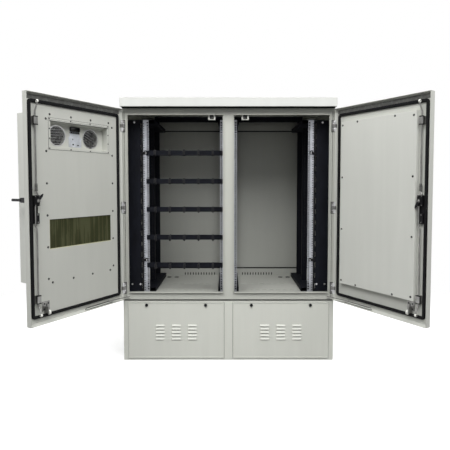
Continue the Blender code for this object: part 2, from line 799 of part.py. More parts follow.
def make_rails(root):
    for side, bay in ((-1, "left"), (1, "right")):
        for place, inner, outward in (("outer", BAY_OUTER_EDGE, 1), ("inner", BAY_INNER_EDGE, -1)):
            far = inner + outward * RAIL_FLANGE
            y = RACK_SETBACK
            tall = (RACK_BOTTOM, RAIL_TOP)
            shapes = [
                box((side * inner, side * far), (y, y + SHEET), tall),
                box((side * (far - outward * SHEET), side * far), (y + SHEET / 2, y + RAIL_SIDE), tall),
            ]
            x = side * (inner + outward * HOLE_LINE)
            half = HOLE_SIZE / 2
            wide, deep = (x - half, x + half), (y - SHEET, y + 2 * SHEET)
            cuts = [box(wide, deep, (z - half, z + half)) for z in hole_heights()]
            name = f"{bay}_bay_{place}_rail"
            build(name, finish(name + "_zinc", ZINC, 0.35, 0.9), root, shapes, cuts)


def angle_post(side, inner, outward):
    """A rear post: its flange and its side, from the floor to the top."""
    far = inner + outward * RAIL_FLANGE
    y = RACK_SETBACK + RACK_DEPTH
    tall = (RACK_BOTTOM, BODY_TOP - SHEET - SEAT)
    return [
        box((side * inner, side * far), (y, y + SHEET), tall),
        box((side * (far - outward * SHEET), side * far), (y + SHEET / 2, y + POST_SIDE), tall),
    ]


def depth_channel(side, low_x, high_x, low_z, high_z):
    """A box section that runs from a front rail back to its rear post, open at its ends."""
    start = RACK_SETBACK + SHEET + SEAT
    end = start + CHANNEL_LENGTH
    solid = box((side * low_x, side * high_x), (start, end), (low_z, high_z))
    hollow = box(
        (side * (low_x + SHEET), side * (high_x - SHEET)),
        (start - SHEET, end + SHEET),
        (low_z + SHEET, high_z - SHEET),
    )
    return solid, hollow


def make_rack_frames(root):
    outer_far = BAY_OUTER_EDGE + RAIL_FLANGE - SHEET - SEAT
    inner_near = BAY_INNER_EDGE - RAIL_FLANGE + SHEET + SEAT
    spans = (
        (outer_far - OUTER_CHANNEL_WIDTH, outer_far),
        (inner_near, inner_near + INNER_CHANNEL_WIDTH),
    )
    levels = ((RACK_BOTTOM, RACK_BOTTOM + CHANNEL_HEIGHT), (RAIL_TOP - CHANNEL_HEIGHT, RAIL_TOP))
    for side, bay in ((-1, "left"), (1, "right")):
        name = bay + "_rack_frame"
        solids, hollows = [], []
        for low_x, high_x in spans:
            for low_z, high_z in levels:
                solid, hollow = depth_channel(side, low_x, high_x, low_z, high_z)
                solids.append(solid)
                hollows.append(hollow)
        obj = build(name, finish(name + "_paint", DARK_STEEL, 0.4), root, solids[:1], ())
        welds = bmesh.new()
        for shape in solids[1:]:
            shape(welds)
        boolean(obj, mesh_object(name + "_channels", welds, root), "UNION", "Channels")
        holes = bmesh.new()
        for shape in hollows:
            shape(holes)
        boolean(obj, mesh_object(name + "_hollows", holes, root), "DIFFERENCE", "Hollows")
        posts = bmesh.new()
        for inner, outward in ((BAY_OUTER_EDGE, 1), (BAY_INNER_EDGE, -1)):
            for shape in angle_post(side, inner, outward):
                shape(posts)
        wide, high = CROSSBAR
        y = RACK_SETBACK + RACK_DEPTH + SHEET / 2
        top = BODY_TOP - SHEET - SEAT
        inner_end = BAY_INNER_EDGE - RAIL_FLANGE + SHEET / 2
        outer_end = BAY_OUTER_EDGE + RAIL_FLANGE - SHEET / 2
        ends = (side * inner_end, side * outer_end)
        box(ends, (y, y + SHEET * 1.5), (top - high, top))(posts)
        box(ends, (y, y + wide), (top - SHEET, top))(posts)
        boolean(obj, mesh_object(name + "_posts", posts, root), "UNION", "Posts")


def make_cable_panels(root):
    low, high = RACK_BOTTOM, RAIL_TOP
    for side, bay in ((-1, "left"), (1, "right")):
        near = BAY_OUTER_EDGE + RAIL_FLANGE + SEAT
        far = near + CABLE_PANEL_WIDTH
        y = RACK_SETBACK + 2 * SHEET
        shapes = [
            box((side * near, side * far), (y, y + SHEET), (low, high)),
            box((side * (far - SHEET), side * far), (y + SHEET / 2, y + CABLE_PANEL_RETURN), (low, high)),
            box((side * near, side * (near + SHEET)), (y + SHEET / 2, y + CABLE_PANEL_RETURN), (low, high)),
        ]
        wide, tall = PANEL_SLOT
        pitch = (high - low) / PANEL_SLOTS
        x = side * (near + PANEL_SLOT_X)
        across, deep = (x - wide / 2, x + wide / 2), (y - SHEET, y + 2 * SHEET)
        cuts = []
        for k in range(PANEL_SLOTS):
            z = low + (k + 0.5) * pitch
            cuts.append(box(across, deep, (z - tall / 2, z + tall / 2)))
        name = bay + "_cable_panel"
        build(name, finish(name + "_paint", DARK_STEEL, 0.45), root, shapes, cuts)


def make_cable_managers(root):
    """Bars across the left rack, with open rings that hold cables."""
    middle = -BAY_CENTRE
    back = RACK_SETBACK - SEAT
    face = back - MANAGER_SHEET
    for k in range(MANAGERS):
        z = MANAGER_TOP_Z - k * MANAGER_PITCH_UNITS * UNIT
        low, high = z - MANAGER_HEIGHT / 2, z + MANAGER_HEIGHT / 2
        half = MANAGER_WIDTH / 2
        shapes = [box((middle - half, middle + half), (face, back), (low, high))]
        lip = RACK_OPEN / 2 - HOLE_LINE
        for edge, step in ((high, -MANAGER_SHEET), (low, MANAGER_SHEET)):
            reach = (face + SHEET / 2, face + MANAGER_LIP)
            shapes.append(box((middle - lip, middle + lip), reach, (edge, edge + step)))
        for ring in range(RINGS):
            x = middle + (ring - (RINGS - 1) / 2) * RING_PITCH
            shapes += cable_ring(x, face + MANAGER_SHEET / 2, z)
        name = f"cable_manager_{k + 1}"
        build(name, finish(name + "_plastic", BLACK, 0.5), root, shapes)


def cable_ring(x, root_y, z):
    """A D of flat bar that stands out from the bar, with a gap at its top for cables."""
    half = RING_HEIGHT / 2
    wide = (x - RING_WIDTH / 2, x + RING_WIDTH / 2)
    front = root_y - RING_REACH
    thick = RING_THICKNESS
    top, bottom = z + half, z - half
    slant = RING_HEIGHT / 4
    outline = [
        (root_y, bottom),
        (root_y, bottom + thick),
        (front + slant, bottom + thick),
        (front + thick, bottom + slant),
        (front + thick, top - slant),
        (front + slant, top - thick),
        (root_y - RING_GAP - thick, top - thick),
        (root_y - RING_GAP - thick, top),
        (front + slant - thick / 2, top),
        (front, top - slant + thick / 2),
        (front, bottom + slant - thick / 2),
        (front + slant - thick / 2, bottom),
    ]
    ring = prism(outline, lambda y, level_z, level: (wide[level], y, level_z))
    stub = box(wide, (root_y - thick, root_y), (top - 3 * thick, top))
    return [ring, stub]


def make_switches(root):
    """A door contact behind the lintel of each doorway, in its bracket, with its sprung plunger."""
    front = SHEET + SEAT
    tip = -(RIM_GAP + LAND_T) + PLUNGER_TIP_GAP
    low, high = SWITCH_Z - SWITCH_HEIGHT / 2, SWITCH_Z + SWITCH_HEIGHT / 2
    for side, name in ((-1, "left"), (1, "right")):
        x = side * SWITCH_X
        half, body = SWITCH_WIDTH / 2, SWITCH_BODY_WIDTH / 2
        wall = SWITCH_WALL
        shapes = [
            box((x - half, x + half), (front, front + wall), (low, high + SWITCH_TAB)),
            box((x - half, x - half + wall), (front + wall / 2, front + SWITCH_DEPTH), (low, high)),
            box((x + half - wall, x + half), (front + wall / 2, front + SWITCH_DEPTH), (low, high)),
            box((x - body, x + body), (front + wall / 2, front + SWITCH_DEPTH), (low + wall, high - wall)),
        ]
        bore_end = front + SWITCH_DEPTH - wall
        cuts = [bar((x, front - wall, SWITCH_Z), (x, bore_end, SWITCH_Z), PLUNGER_RADIUS + RUN, 12)]
        build(f"door_switch_{name}", finish(f"switch_{name}_shell", NYLON, 0.5), root, shapes, cuts)
        end = bore_end - PLUNGER_TRAVEL - SWING
        plunger = [bar((x, tip, SWITCH_Z), (x, end, SWITCH_Z), PLUNGER_RADIUS, 12)]
        look = finish(f"plunger_{name}_plastic", BLACK, 0.4)
        build(f"switch_plunger_{name}", look, root, plunger, origin=(x, tip, SWITCH_Z))


def make_hinges(root):
    """The frame's half of each hinge: its leaf, two knuckles and the pin."""
    for side, name in ((-1, "left"), (1, "right")):
        for k, z in enumerate(HINGE_HEIGHTS):
            x, y = side * HINGE_X, -HINGE_OUT
            half = HINGE_LENGTH / 2
            leaf = (-SEAT - SHEET, -SEAT)
            edge = side * (HINGE_X + KNUCKLE_RADIUS)
            shapes = [box((edge, edge - side * HINGE_LEAF_WIDTH), leaf, (z - half, z + half))]
            shapes.append(bar((x, y, z - half), (x, y, z + half), PIN_RADIUS, 12))
            clear = DOOR_KNUCKLE / 2 + RUN
            wrap = (edge, side * (HINGE_X - KNUCKLE_RADIUS / 2))
            for low, high in ((z - half, z - clear), (z + clear, z + half)):
                shapes.append(bar((x, y, low), (x, y, high), KNUCKLE_RADIUS, 12))
                shapes.append(box(wrap, (y, leaf[1] - SHEET / 2), (low, high)))
            screw_x = edge - side * (HINGE_LEAF_WIDTH - 2 * LEAF_SCREW_RADIUS)
            deep, proud = leaf[1] - SHEET / 2, leaf[0] - SHEET / 2
            for level in (z - half / 2, z + half / 2):
                shapes.append(bar((screw_x, deep, level), (screw_x, proud, level), LEAF_SCREW_RADIUS, 8))
            title = f"{name}_hinge_{k + 1}"
            build(title, finish(title + "_steel", ZINC, 0.4, 0.9), root, shapes)


# Doors. side is -1 for the left door and 1 for the right, whose u runs towards -X.


def door_box(side, u, t, z):
    return box((-side * u[0], -side * u[1]), (RIM_Y - t[0], RIM_Y - t[1]), z)


def door_point(side, u, t, z):
    return (-side * u, RIM_Y - t, z)


def door_bar(side, start, end, radius, sides=12, end_radius=None):
    return bar(door_point(side, *start), door_point(side, *end), radius, sides, end_radius)


def door_ring(side, inset, t, end_inset=None):
    """The four corners of the door's outline moved in by inset, at depth t."""
    low, high = DOOR_START + inset, DOOR_END - inset
    end = inset if end_inset is None else end_inset
    bottom, top = DOOR_BOTTOM + end, DOOR_TOP - end
    corners = ((low, bottom), (high, bottom), (high, top), (low, top))
    return [door_point(side, u, t, z) for u, z in corners]


def spindle_bore(side, near_t, far_t):
    start, end = (LOCK_U, near_t - SHEET, LOCK_Z), (LOCK_U, far_t + SHEET, LOCK_Z)
    return door_bar(side, start, end, SPINDLE_RADIUS + RUN)


def make_door(side, name, hinge, windows):
    """A double-skinned leaf: outer skin, rim, sloped return and inner panel."""
    back = LAND_T
    solid = loft(
        [
            door_ring(side, 0, DOOR_THICKNESS),
            door_ring(side, 0, 0),
            door_ring(side, SHEET, 0),
            door_ring(side, LAND_INSET, back),
        ]
    )
    hollow = loft(
        [
            door_ring(side, SHEET, SKIN_T),
            door_ring(side, SHEET, INNER_T - LAND_T + 2 * SHEET),
            door_ring(side, LAND_INSET - SHEET / 2, INNER_T),
        ]
    )
    cuts = [hollow, *windows]
    middle = (DOOR_START + DOOR_END) / 2
    for k in (-1, 0, 1):
        u = middle + k * (DOOR_END - DOOR_START) / 3
        drain = (DOOR_BOTTOM - SHEET, DOOR_BOTTOM + 2 * SHEET)
        cuts.append(door_box(side, (u, u + 0.020), (SKIN_T - 0.006, SKIN_T - 0.002), drain))
    notch = HINGE_LENGTH / 2 + 1.5 * SWING
    notch_u, notch_t = (-DOOR_START, KNUCKLE_RADIUS + 4 * SWING), (-SHEET, RIM_Y + KNUCKLE_RADIUS + SWING)
    for z in HINGE_HEIGHTS:
        cuts.append(door_box(side, notch_u, notch_t, (z - notch, z + notch)))
    cuts.append(spindle_bore(side, LAND_T, DOOR_THICKNESS))
    obj = build(name, paint(name + "_paint"), hinge, [solid], cuts)
    add_door_fittings(side, name, hinge, obj)
    return obj


def add_door_fittings(side, name, hinge, obj):
    """Hinge knuckles, rod guides and the stay's track are welded to the door."""
    fittings, holes = bmesh.new(), bmesh.new()
    axis_t = RIM_Y
    half = DOOR_KNUCKLE / 2
    for z in HINGE_HEIGHTS:
        door_bar(side, (0, axis_t, z - half), (0, axis_t, z + half), KNUCKLE_RADIUS)(fittings)
        door_box(side, (0, HINGE_TAB), (axis_t, axis_t + KNUCKLE_RADIUS), (z - half, z + half))(fittings)
        door_bar(side, (0, axis_t, z - half - SHEET), (0, axis_t, z + half + SHEET), PIN_RADIUS + RUN)(holes)
    channel = ROD_RADIUS + RUN
    guide_u = (LOCK_U - GUIDE_HALF, LOCK_U + GUIDE_HALF)
    guide_t = (ROD_T - channel - GUIDE_ROOF, LAND_T + SHEET / 2)
    rod_u, rod_t = (LOCK_U - channel, LOCK_U + channel), (ROD_T - channel, ROD_T + channel)
    for z in GUIDE_Z:
        low, high = z - GUIDE_HEIGHT / 2, z + GUIDE_HEIGHT / 2
        door_box(side, guide_u, guide_t, (low, high))(fittings)
        door_box(side, rod_u, rod_t, (low - SHEET, high + SHEET))(holes)
    track = (STAY_Z - TRACK_GAP - TRACK_THICKNESS, STAY_Z - TRACK_GAP)
    door_box(side, TRACK_U, (TRACK_T, LAND_T + SHEET / 2), track)(fittings)
    slot = (TRACK_U[0] + TRACK_SLOT, TRACK_U[1] - TRACK_SLOT)
    slot_t = (TRACK_T + TRACK_SLOT / 2, TRACK_T + 1.5 * TRACK_SLOT)
    door_box(side, slot, slot_t, (track[0] - SHEET, track[1] + SHEET))(holes)
    boolean(obj, mesh_object(name + "_fittings", fittings, hinge), "UNION", "Fittings")
    boolean(obj, mesh_object(name + "_fitting_holes", holes, hinge), "DIFFERENCE", "Fitting holes")


def make_gasket(side, name, hinge):
    """A hollow-section seal drawn as its outer form, in a closed loop on the inner panel."""
    seat, face = LAND_T - SEAT, LAND_T - SEAT - GASKET_THICKNESS
    near, far = 0.0, GASKET_WIDTH
    profile = (
        (near, seat),
        (near, face + GASKET_EDGE),
        (near + GASKET_EDGE, face),
        (far - GASKET_EDGE, face),
        (far, face + GASKET_EDGE),
        (far, seat),
    )
    loops = [
        door_ring(side, GASKET_SIDE_INSET + step, t, GASKET_END_INSET + step) for step, t in profile
    ]
    build(name + "_gasket", finish(name + "_rubber", BLACK, 0.7), hinge, [loft(loops, closed=True)])


def make_lock(side, name, hinge):
    """The lock case on the inner panel: the gearbox, and the block below it, on one plate."""
    seat = LAND_T - SEAT
    wide, tall = GEARBOX[0] / 2, GEARBOX[1] / 2
    top, bottom = LOCK_Z + tall, LOCK_BLOCK_Z[0]
    block = tuple(LOCK_U - side * edge for edge in LOCK_BLOCK)
    across = (LOCK_U - wide, LOCK_U + wide)
    shapes = [
        door_box(side, across, (seat - LOCK_PLATE, seat), (bottom, top)),
        door_box(side, across, (seat - GEARBOX_RISE, seat - SEAT), (LOCK_Z - tall, top)),
        door_box(side, block, (seat - LOCK_BLOCK_RISE, seat - SEAT), LOCK_BLOCK_Z),
    ]
    face = seat - LOCK_BLOCK_RISE
    u = sum(block) / 2
    for z in (LOCK_BLOCK_Z[0] + 2 * SCREW_RADIUS, LOCK_BLOCK_Z[1] - 2 * SCREW_RADIUS):
        shapes.append(door_bar(side, (u, face + SHEET, z), (u, face - SCREW_RISE, z), SCREW_RADIUS, 8))
    channel = ROD_RADIUS + RUN
    rod_t = (ROD_T - channel, ROD_T + channel)
    end = ROD_START - SWING
    upper, lower = LOCK_U + side * ROD_OFFSET, LOCK_U - side * ROD_OFFSET
    cuts = [
        door_box(side, (upper - channel, upper + channel), rod_t, (LOCK_Z + end, top + SHEET)),
        door_box(side, (lower - channel, lower + channel), rod_t, (LOCK_Z - tall - SHEET, LOCK_Z - end)),
        spindle_bore(side, seat - GEARBOX_RISE, seat),
    ]
    build(name + "_lock_case", finish(name + "_lock_black", BLACK, 0.4), hinge, shapes, cuts)
    make_rods(side, name, hinge)


def make_rods(side, name, hinge):
    """Each rod cranks in at its end, so that its roller passes behind the frame."""
    near_upper, far_upper, near_lower, far_lower = ROD_BENDS
    for where, way, edge, bends in (
        ("upper", 1, OPENING_TOP, (near_upper, far_upper)),
        ("lower", -1, OPENING_BOTTOM, (near_lower, far_lower)),
    ):
        roller = edge - way * (ROLLER_RADIUS + ROLLER_CLEARANCE)
        inner = LOCK_U + side * way * ROD_OFFSET
        path = [
            (inner, ROD_T, LOCK_Z + way * ROD_START),
            (inner, ROD_T, LOCK_Z + way * bends[0]),
            (LOCK_U, ROD_T, LOCK_Z + way * bends[1]),
            (LOCK_U, ROD_T, roller - way * CRANK_START),
            (LOCK_U, ROLLER_T, roller - way * CRANK_END),
            (LOCK_U, ROLLER_T, roller),
        ]
        points = [door_point(side, *point) for point in path]
        half = ROLLER_WIDTH / 2
        axle = [(LOCK_U + end * half, ROLLER_T, roller) for end in (-1, 1)]
        shapes = [tube(points, ROD_RADIUS), door_bar(side, *axle, ROLLER_RADIUS, 14)]
        if where == "upper":
            wide, tall = COUPLER[0], COUPLER[1] / 2
            coupler_u, coupler_t = (LOCK_U - wide, LOCK_U + wide), (ROD_T - wide, ROD_T + wide)
            shapes.append(door_box(side, coupler_u, coupler_t, (COUPLER_Z - tall, COUPLER_Z + tall)))
        title = f"{name}_{where}_rod"
        origin = door_point(side, LOCK_U, ROD_T, LOCK_Z)
        build(title, finish(title + "_zinc", ZINC, 0.35, 0.9), hinge, shapes, origin=origin)


def handle_levels():
    """Depths t of the handle's base, its turning plate and the lever's pivot."""
    base = DOOR_THICKNESS + SEAT
    plate = base + HANDLE_BASE_RISE + SEAT
    return base, plate, plate + LEVER_PIVOT_RISE - HANDLE_BASE_RISE


def lock_disc(side, start_t, end_t, radius, sides):
    return door_bar(side, (LOCK_U, start_t, LOCK_Z), (LOCK_U, end_t, LOCK_Z), radius, sides)


def make_cam(side, name, hinge):
    """The cam inside, its spindle through the door, and the yoke outside that holds the lever.

    Both locks turn the same way, seen from outside, so the right door's cam starts turned by
    half a turn from the left one's."""
    base, plate, pivot = handle_levels()
    cam_high = CAM_T - CAM_THICKNESS
    shapes = [
        lock_disc(side, cam_high, plate + YOKE_PLATE / 2, SPINDLE_RADIUS, 12),
        lock_disc(side, CAM_T, cam_high, CAM_HUB, 16),
        lock_disc(side, plate, plate + YOKE_PLATE, YOKE_RADIUS, 20),
    ]
    lean = math.pi - CAM_ANGLES[side]
    out, up = math.cos(lean), math.sin(lean)
    if side > 0:
        up = -up
    tip, half = CAM_LENGTH, CAM_WIDTH / 2
    shoulder = tip * 0.7
    outline = ((0, -half), (shoulder, -half), (tip, -half / 3), (tip, half / 3), (shoulder, half), (0, half))
    levels = (CAM_T, cam_high)

    def place(along, across, level):
        u, z = along * out - across * up, along * up + across * out
        return door_point(side, LOCK_U + u, levels[level], LOCK_Z + z)

    shapes.append(prism(outline, place))
    gap = LEVER_HEAD_WIDTH / 2 + RUN
    eye = LEVER_EYE_RADIUS
    for way in (-1, 1):
        cheek = (LOCK_Z + way * gap, LOCK_Z + way * (gap + YOKE_CHEEK))
        shapes.append(door_box(side, (LOCK_U - eye, LOCK_U + eye), (plate + SEAT, pivot + eye), cheek))
    reach = gap + YOKE_CHEEK / 2
    pin = [(LOCK_U, pivot, LOCK_Z + end * reach) for end in (-1, 1)]
    shapes.append(door_bar(side, *pin, LEVER_PIN_RADIUS, 10))
    origin = door_point(side, LOCK_U, 0, LOCK_Z)
    build(name + "_cam", finish(name + "_cam_black", BLACK, 0.35), hinge, shapes, origin=origin)


def make_handle(side, name, hinge):
    """The base plate and the lever. The left lever stands lifted, the right one lies folded."""
    base, plate, pivot = handle_levels()
    half, tall = HANDLE_BASE[0] / 2, HANDLE_BASE[1] / 2
    middle = LOCK_Z - HANDLE_BASE_DROP
    outline = rounded(half, tall, half * 0.8)
    levels = (base, base + HANDLE_BASE_RISE)
    body = prism(outline, lambda a, b, level: door_point(side, LOCK_U + a, levels[level], middle + b))
    cuts = [spindle_bore(side, *levels)]
    build(name + "_handle_base", finish(name + "_base_black", BLACK, 0.35), hinge, [body], cuts)

    head, grip, thick = LEVER_HEAD_WIDTH / 2, LEVER_GRIP_WIDTH / 2, LEVER_THICKNESS / 2
    outline = (
        (0, -head),
        (LEVER_HEAD_LENGTH * 0.85, -head),
        (LEVER_HEAD_LENGTH, -grip),
        (LEVER_LENGTH - grip / 2, -grip),
        (LEVER_LENGTH, -grip / 2),
        (LEVER_LENGTH, grip / 2),
        (LEVER_LENGTH - grip / 2, grip),
        (LEVER_HEAD_LENGTH, grip),
        (LEVER_HEAD_LENGTH * 0.85, head),
        (0, head),
    )
    lifted = side < 0
    levels = (-thick, thick)

    def spot(along, across, rise):
        if lifted:
            return door_point(side, LOCK_U + rise, pivot + along, LOCK_Z + across)
        return door_point(side, LOCK_U - along, pivot + rise, LOCK_Z + across)

    shapes = [
        prism(outline, lambda along, across, level: spot(along, across, levels[level])),
        bar(spot(0, -head, 0), spot(0, head, 0), LEVER_EYE_RADIUS, 14),
    ]
    cuts = [
        bar(spot(0, -2 * head, 0), spot(0, 2 * head, 0), LEVER_PIN_RADIUS + RUN, 10),
        bar(spot(LEVER_HOLE_AT, 0, -2 * thick), spot(LEVER_HOLE_AT, 0, 2 * thick), LEVER_HOLE_RADIUS, 12),
    ]
    origin = door_point(side, LOCK_U, pivot, LOCK_Z)
    build(name + "_handle", finish(name + "_lever_black", BLACK, 0.35), hinge, shapes, cuts, origin=origin)


def make_lifter(side, name, hinge):
    """A nylon wheel that runs up on the sill as the door closes, on its bracket."""
    seat = LAND_T - SEAT
    wheel_z = OPENING_BOTTOM + LIFTER_RISE + LIFTER_WHEEL_RADIUS
    near, far = LIFTER_U - LIFTER_WHEEL_WIDTH / 2, LIFTER_U + LIFTER_WHEEL_WIDTH / 2
    cheek = (far + RUN, far + RUN + LIFTER_CHEEK)
    wide, tall = LIFTER_PLATE
    base_z = wheel_z + LIFTER_WHEEL_RADIUS / 2
    reach = LIFTER_WHEEL_T - LIFTER_AXLE_RADIUS * 2

    def axle(start_u, end_u, radius, sides=12):
        ends = [(u, LIFTER_WHEEL_T, wheel_z) for u in (start_u, end_u)]
        return door_bar(side, *ends, radius, sides)

    plate_u = (LIFTER_U - wide / 2, LIFTER_U + wide / 2)
    cheek_z = (wheel_z - 2 * LIFTER_AXLE_RADIUS, base_z + tall / 2)
    shapes = [
        door_box(side, plate_u, (seat - LIFTER_CHEEK, seat), (base_z, base_z + tall)),
        door_box(side, cheek, (reach, seat - SEAT), cheek_z),
        axle(near - SHEET, cheek[0] + SHEET, LIFTER_AXLE_RADIUS),
    ]
    build(name + "_lifter_bracket", finish(name + "_lifter_zinc", ZINC, 0.4, 0.9), hinge, shapes)
    wheel = [axle(near, far, LIFTER_WHEEL_RADIUS, 20)]
    bore = [axle(near - SHEET, far + SHEET, LIFTER_AXLE_RADIUS + RUN)]
    origin = door_point(side, LIFTER_U, LIFTER_WHEEL_T, wheel_z)
    look = finish(name + "_wheel_nylon", NYLON, 0.45)
    build(name + "_lifter_wheel", look, hinge, wheel, bore, origin=origin)


def stay_line(side):
    """The stay's pivot on the frame, and where its end lies on the open door, in the fixed frame."""
    pivot = Vector((side * STAY_PIVOT_X, -STAY_PIVOT_OUT))
    turn = Matrix.Rotation(side * OPEN_ANGLE, 2)
    end = Vector((side * HINGE_X, -HINGE_OUT)) + turn @ Vector((-side * STAY_REACH_U, RIM_Y - STAY_END_T))
    return pivot, end


def make_stay(side, name, root):
    """A flat arm from the frame to the track on the door. Its end rides just over the track."""
    pivot, end = stay_line(side)
    along = (end - pivot).normalized()
    across = Vector((-along.y, along.x)) * STAY_WIDTH / 2
    low, high = STAY_Z, STAY_Z + STAY_THICKNESS
    corners = (pivot - across, end - across, end + across, pivot + across)
    shapes = [loft([[(*corner, z) for corner in corners] for z in (low, high)])]
    shapes.append(bar((*pivot, low), (*pivot, high), STAY_EYE_RADIUS, 14))
    shapes.append(bar((*end, low), (*end, high), STAY_WIDTH / 2, 12))
    shapes.append(bar((*end, low - SWING), (*end, high + STAY_THICKNESS), STAY_KNOB_RADIUS * 0.8, 10))
    cuts = [bar((*pivot, low - SHEET), (*pivot, high + SHEET), STAY_PIN_RADIUS + RUN, 10)]
    title = name + "_stay"
    build(title, finish(title + "_zinc", ZINC, 0.35, 0.9), root, shapes, cuts, origin=(*pivot, 0.0))


# Air conditioner


def fan_centre(k):
    return FAN_U[k], FAN_Z


def make_ac_housing(side, hinge):
    """The weather-side casing, open towards the door, with two slotted grilles."""
    base = DOOR_THICKNESS + SEAT
    low_u, high_u = AC_EDGE
    low_z, high_z = AC_HEIGHTS
    shapes = [door_box(side, AC_EDGE, (base, AC_REACH), AC_HEIGHTS)]

    def inside(inset, t):
        return door_box(side, (low_u + inset, high_u - inset), t, (low_z + inset, high_z - inset))

    cuts = [
        inside(AC_FLANGE, (base - SHEET, base + 2 * SHEET)),
        inside(SHEET, (base + SHEET, AC_REACH - SHEET)),
    ]
    for middle in AC_GRILLE_HEIGHTS:
        for k in range(AC_SLOTS):
            z = middle + (k - (AC_SLOTS - 1) / 2) * AC_SLOT_PITCH
            cuts.append(
                door_box(
                    side,
                    (low_u + AC_SLOT_MARGIN, high_u - AC_SLOT_MARGIN),
                    (AC_REACH - 2 * SHEET, AC_REACH + SHEET),
                    (z - AC_SLOT_HEIGHT / 2, z + AC_SLOT_HEIGHT / 2),
                )
            )
    build("ac_housing", paint("ac_paint"), hinge, shapes, cuts)


def ac_windows(side):
    """What is cut from the left door for the air conditioner."""
    low_u, high_u = AC_EDGE[0] + AC_OPEN_INSET, AC_EDGE[1] - AC_OPEN_INSET
    low_z, high_z = AC_HEIGHTS[0] + AC_OPEN_INSET, AC_HEIGHTS[1] - AC_OPEN_INSET
    clear = SWING
    return [
        door_box(side, (low_u, high_u), (SKIN_T - SHEET, DOOR_THICKNESS + SHEET), (low_z, high_z)),
        door_box(side, CORE_U, (LAND_T - SHEET, INNER_T + SHEET), CORE_Z),
        door_box(
            side,
            (RECESS_U[0] - clear, RECESS_U[1] + clear),
            (LAND_T - SHEET, INNER_T + SHEET),
            (RECESS_Z[0] - clear, RECESS_Z[1] + clear),
        ),
    ]


def guard_slot(side, centre, rise):
    """One of a guard's parallel slots, rise away from the fan's axis, all of them aslant."""
    levels = (RECESS_T - RECESS_SHEET, RECESS_T + 2 * RECESS_SHEET)
    top = abs(rise) + GUARD_SLOT / 2
    half = math.sqrt(FAN_RADIUS**2 - top**2)
    low, high = rise - GUARD_SLOT / 2, rise + GUARD_SLOT / 2
    along, across = math.cos(GUARD_TILT), math.sin(GUARD_TILT)

    def place(a, b, level):
        return door_point(
            side, centre[0] + a * along - b * across, levels[level], centre[1] + a * across + b * along
        )

    return prism(((-half, low), (half, low), (half, high), (-half, high)), place)


def make_ac_return_panel(side, hinge):
    """The recessed tray round the two fans: flange, walls, sloped soffit, slotted back and shrouds."""
    seat = LAND_T - SEAT
    sheet = RECESS_SHEET
    low_u, high_u = RECESS_U
    low_z, high_z = RECESS_Z
    rim = RECESS_FLANGE
    back = RECESS_T
    shapes = [
        door_box(side, (low_u - rim, high_u + rim), (seat - sheet, seat), (low_z - rim, high_z + rim)),
        door_box(side, RECESS_U, (seat - sheet / 2, back + sheet), RECESS_Z),
    ]
    soffit = high_z - sheet
    inner = [
        [(low_u + sheet, seat - 2 * sheet, low_z + sheet), (high_u - sheet, seat - 2 * sheet, low_z + sheet)],
        [(high_u - sheet, seat - 2 * sheet, soffit), (low_u + sheet, seat - 2 * sheet, soffit)],
    ]
    front_loop = [door_point(side, *point) for point in inner[0] + inner[1]]
    back_loop = []
    for u, _, z in inner[0] + inner[1]:
        level = z - SOFFIT_DROP if z == soffit else z
        back_loop.append(door_point(side, u, back, level))
    hollow = loft([front_loop, back_loop])
    obj = build("ac_return_panel", paint("ac_panel_paint"), hinge, shapes, [hollow])
    slots, shrouds, bores = bmesh.new(), bmesh.new(), bmesh.new()
    for k in range(len(FAN_U)):
        u, z = fan_centre(k)
        for row in range(GUARD_SLOTS):
            guard_slot(side, (u, z), (row - (GUARD_SLOTS - 1) / 2) * GUARD_PITCH)(slots)
        ring = FAN_RADIUS + 2 * FAN_TIP_GAP
        deep = back + sheet + FAN_DEPTH
        door_bar(side, (u, back + sheet / 2, z), (u, deep, z), ring, 24)(shrouds)
        door_bar(side, (u, back + sheet, z), (u, deep - sheet, z), ring - sheet, 24)(bores)
        near, wide, tall = FAN_SHAFT_RADIUS * 1.2, ring * 0.6, ring * 0.85
        for row in (-1, 1):
            span = (z + row * near, z + row * tall)
            for way in (-1, 1):
                window = (u + way * wide, u + way * near)
                door_box(side, window, (deep - 2 * sheet, deep + sheet), span)(bores)
    boolean(obj, mesh_object("ac_guard_slots", slots, hinge), "DIFFERENCE", "Guard slots")
    boolean(obj, mesh_object("ac_shrouds", shrouds, hinge), "UNION", "Shrouds")
    boolean(obj, mesh_object("ac_shroud_bores", bores, hinge), "DIFFERENCE", "Shroud bores")
    shafts = bmesh.new()
    for k in range(len(FAN_U)):
        u, z = fan_centre(k)
        deep = back + sheet + FAN_DEPTH
        door_bar(side, (u, back + 4 * sheet, z), (u, deep - sheet / 2, z), FAN_SHAFT_RADIUS, 12)(shafts)
    boolean(obj, mesh_object("ac_motor_stubs", shafts, hinge), "UNION", "Motor stubs")


def make_fans(side, hinge):
    """Seven-bladed rotors, each on its motor's stub behind the guard."""
    sheet = RECESS_SHEET
    front = RECESS_T + sheet + FAN_TIP_GAP
    deep = RECESS_T + sheet + FAN_DEPTH - sheet - FAN_TIP_GAP / 2
    for k in range(len(FAN_U)):
        u, z = fan_centre(k)
        shapes = [door_bar(side, (u, front, z), (u, deep, z), FAN_HUB_RADIUS, 16)]
        for blade in range(FAN_BLADES):
            shapes.append(fan_blade(side, u, z, front, deep, 2 * math.pi * blade / FAN_BLADES))
        cuts = [door_bar(side, (u, front - SHEET, z), (u, deep + SHEET, z), FAN_SHAFT_RADIUS + RUN)]
        name = f"ac_fan_{k + 1}"
        origin = door_point(side, u, front, z)
        build(name, finish(name + "_plastic", BLACK, 0.5), hinge, shapes, cuts, origin=origin)


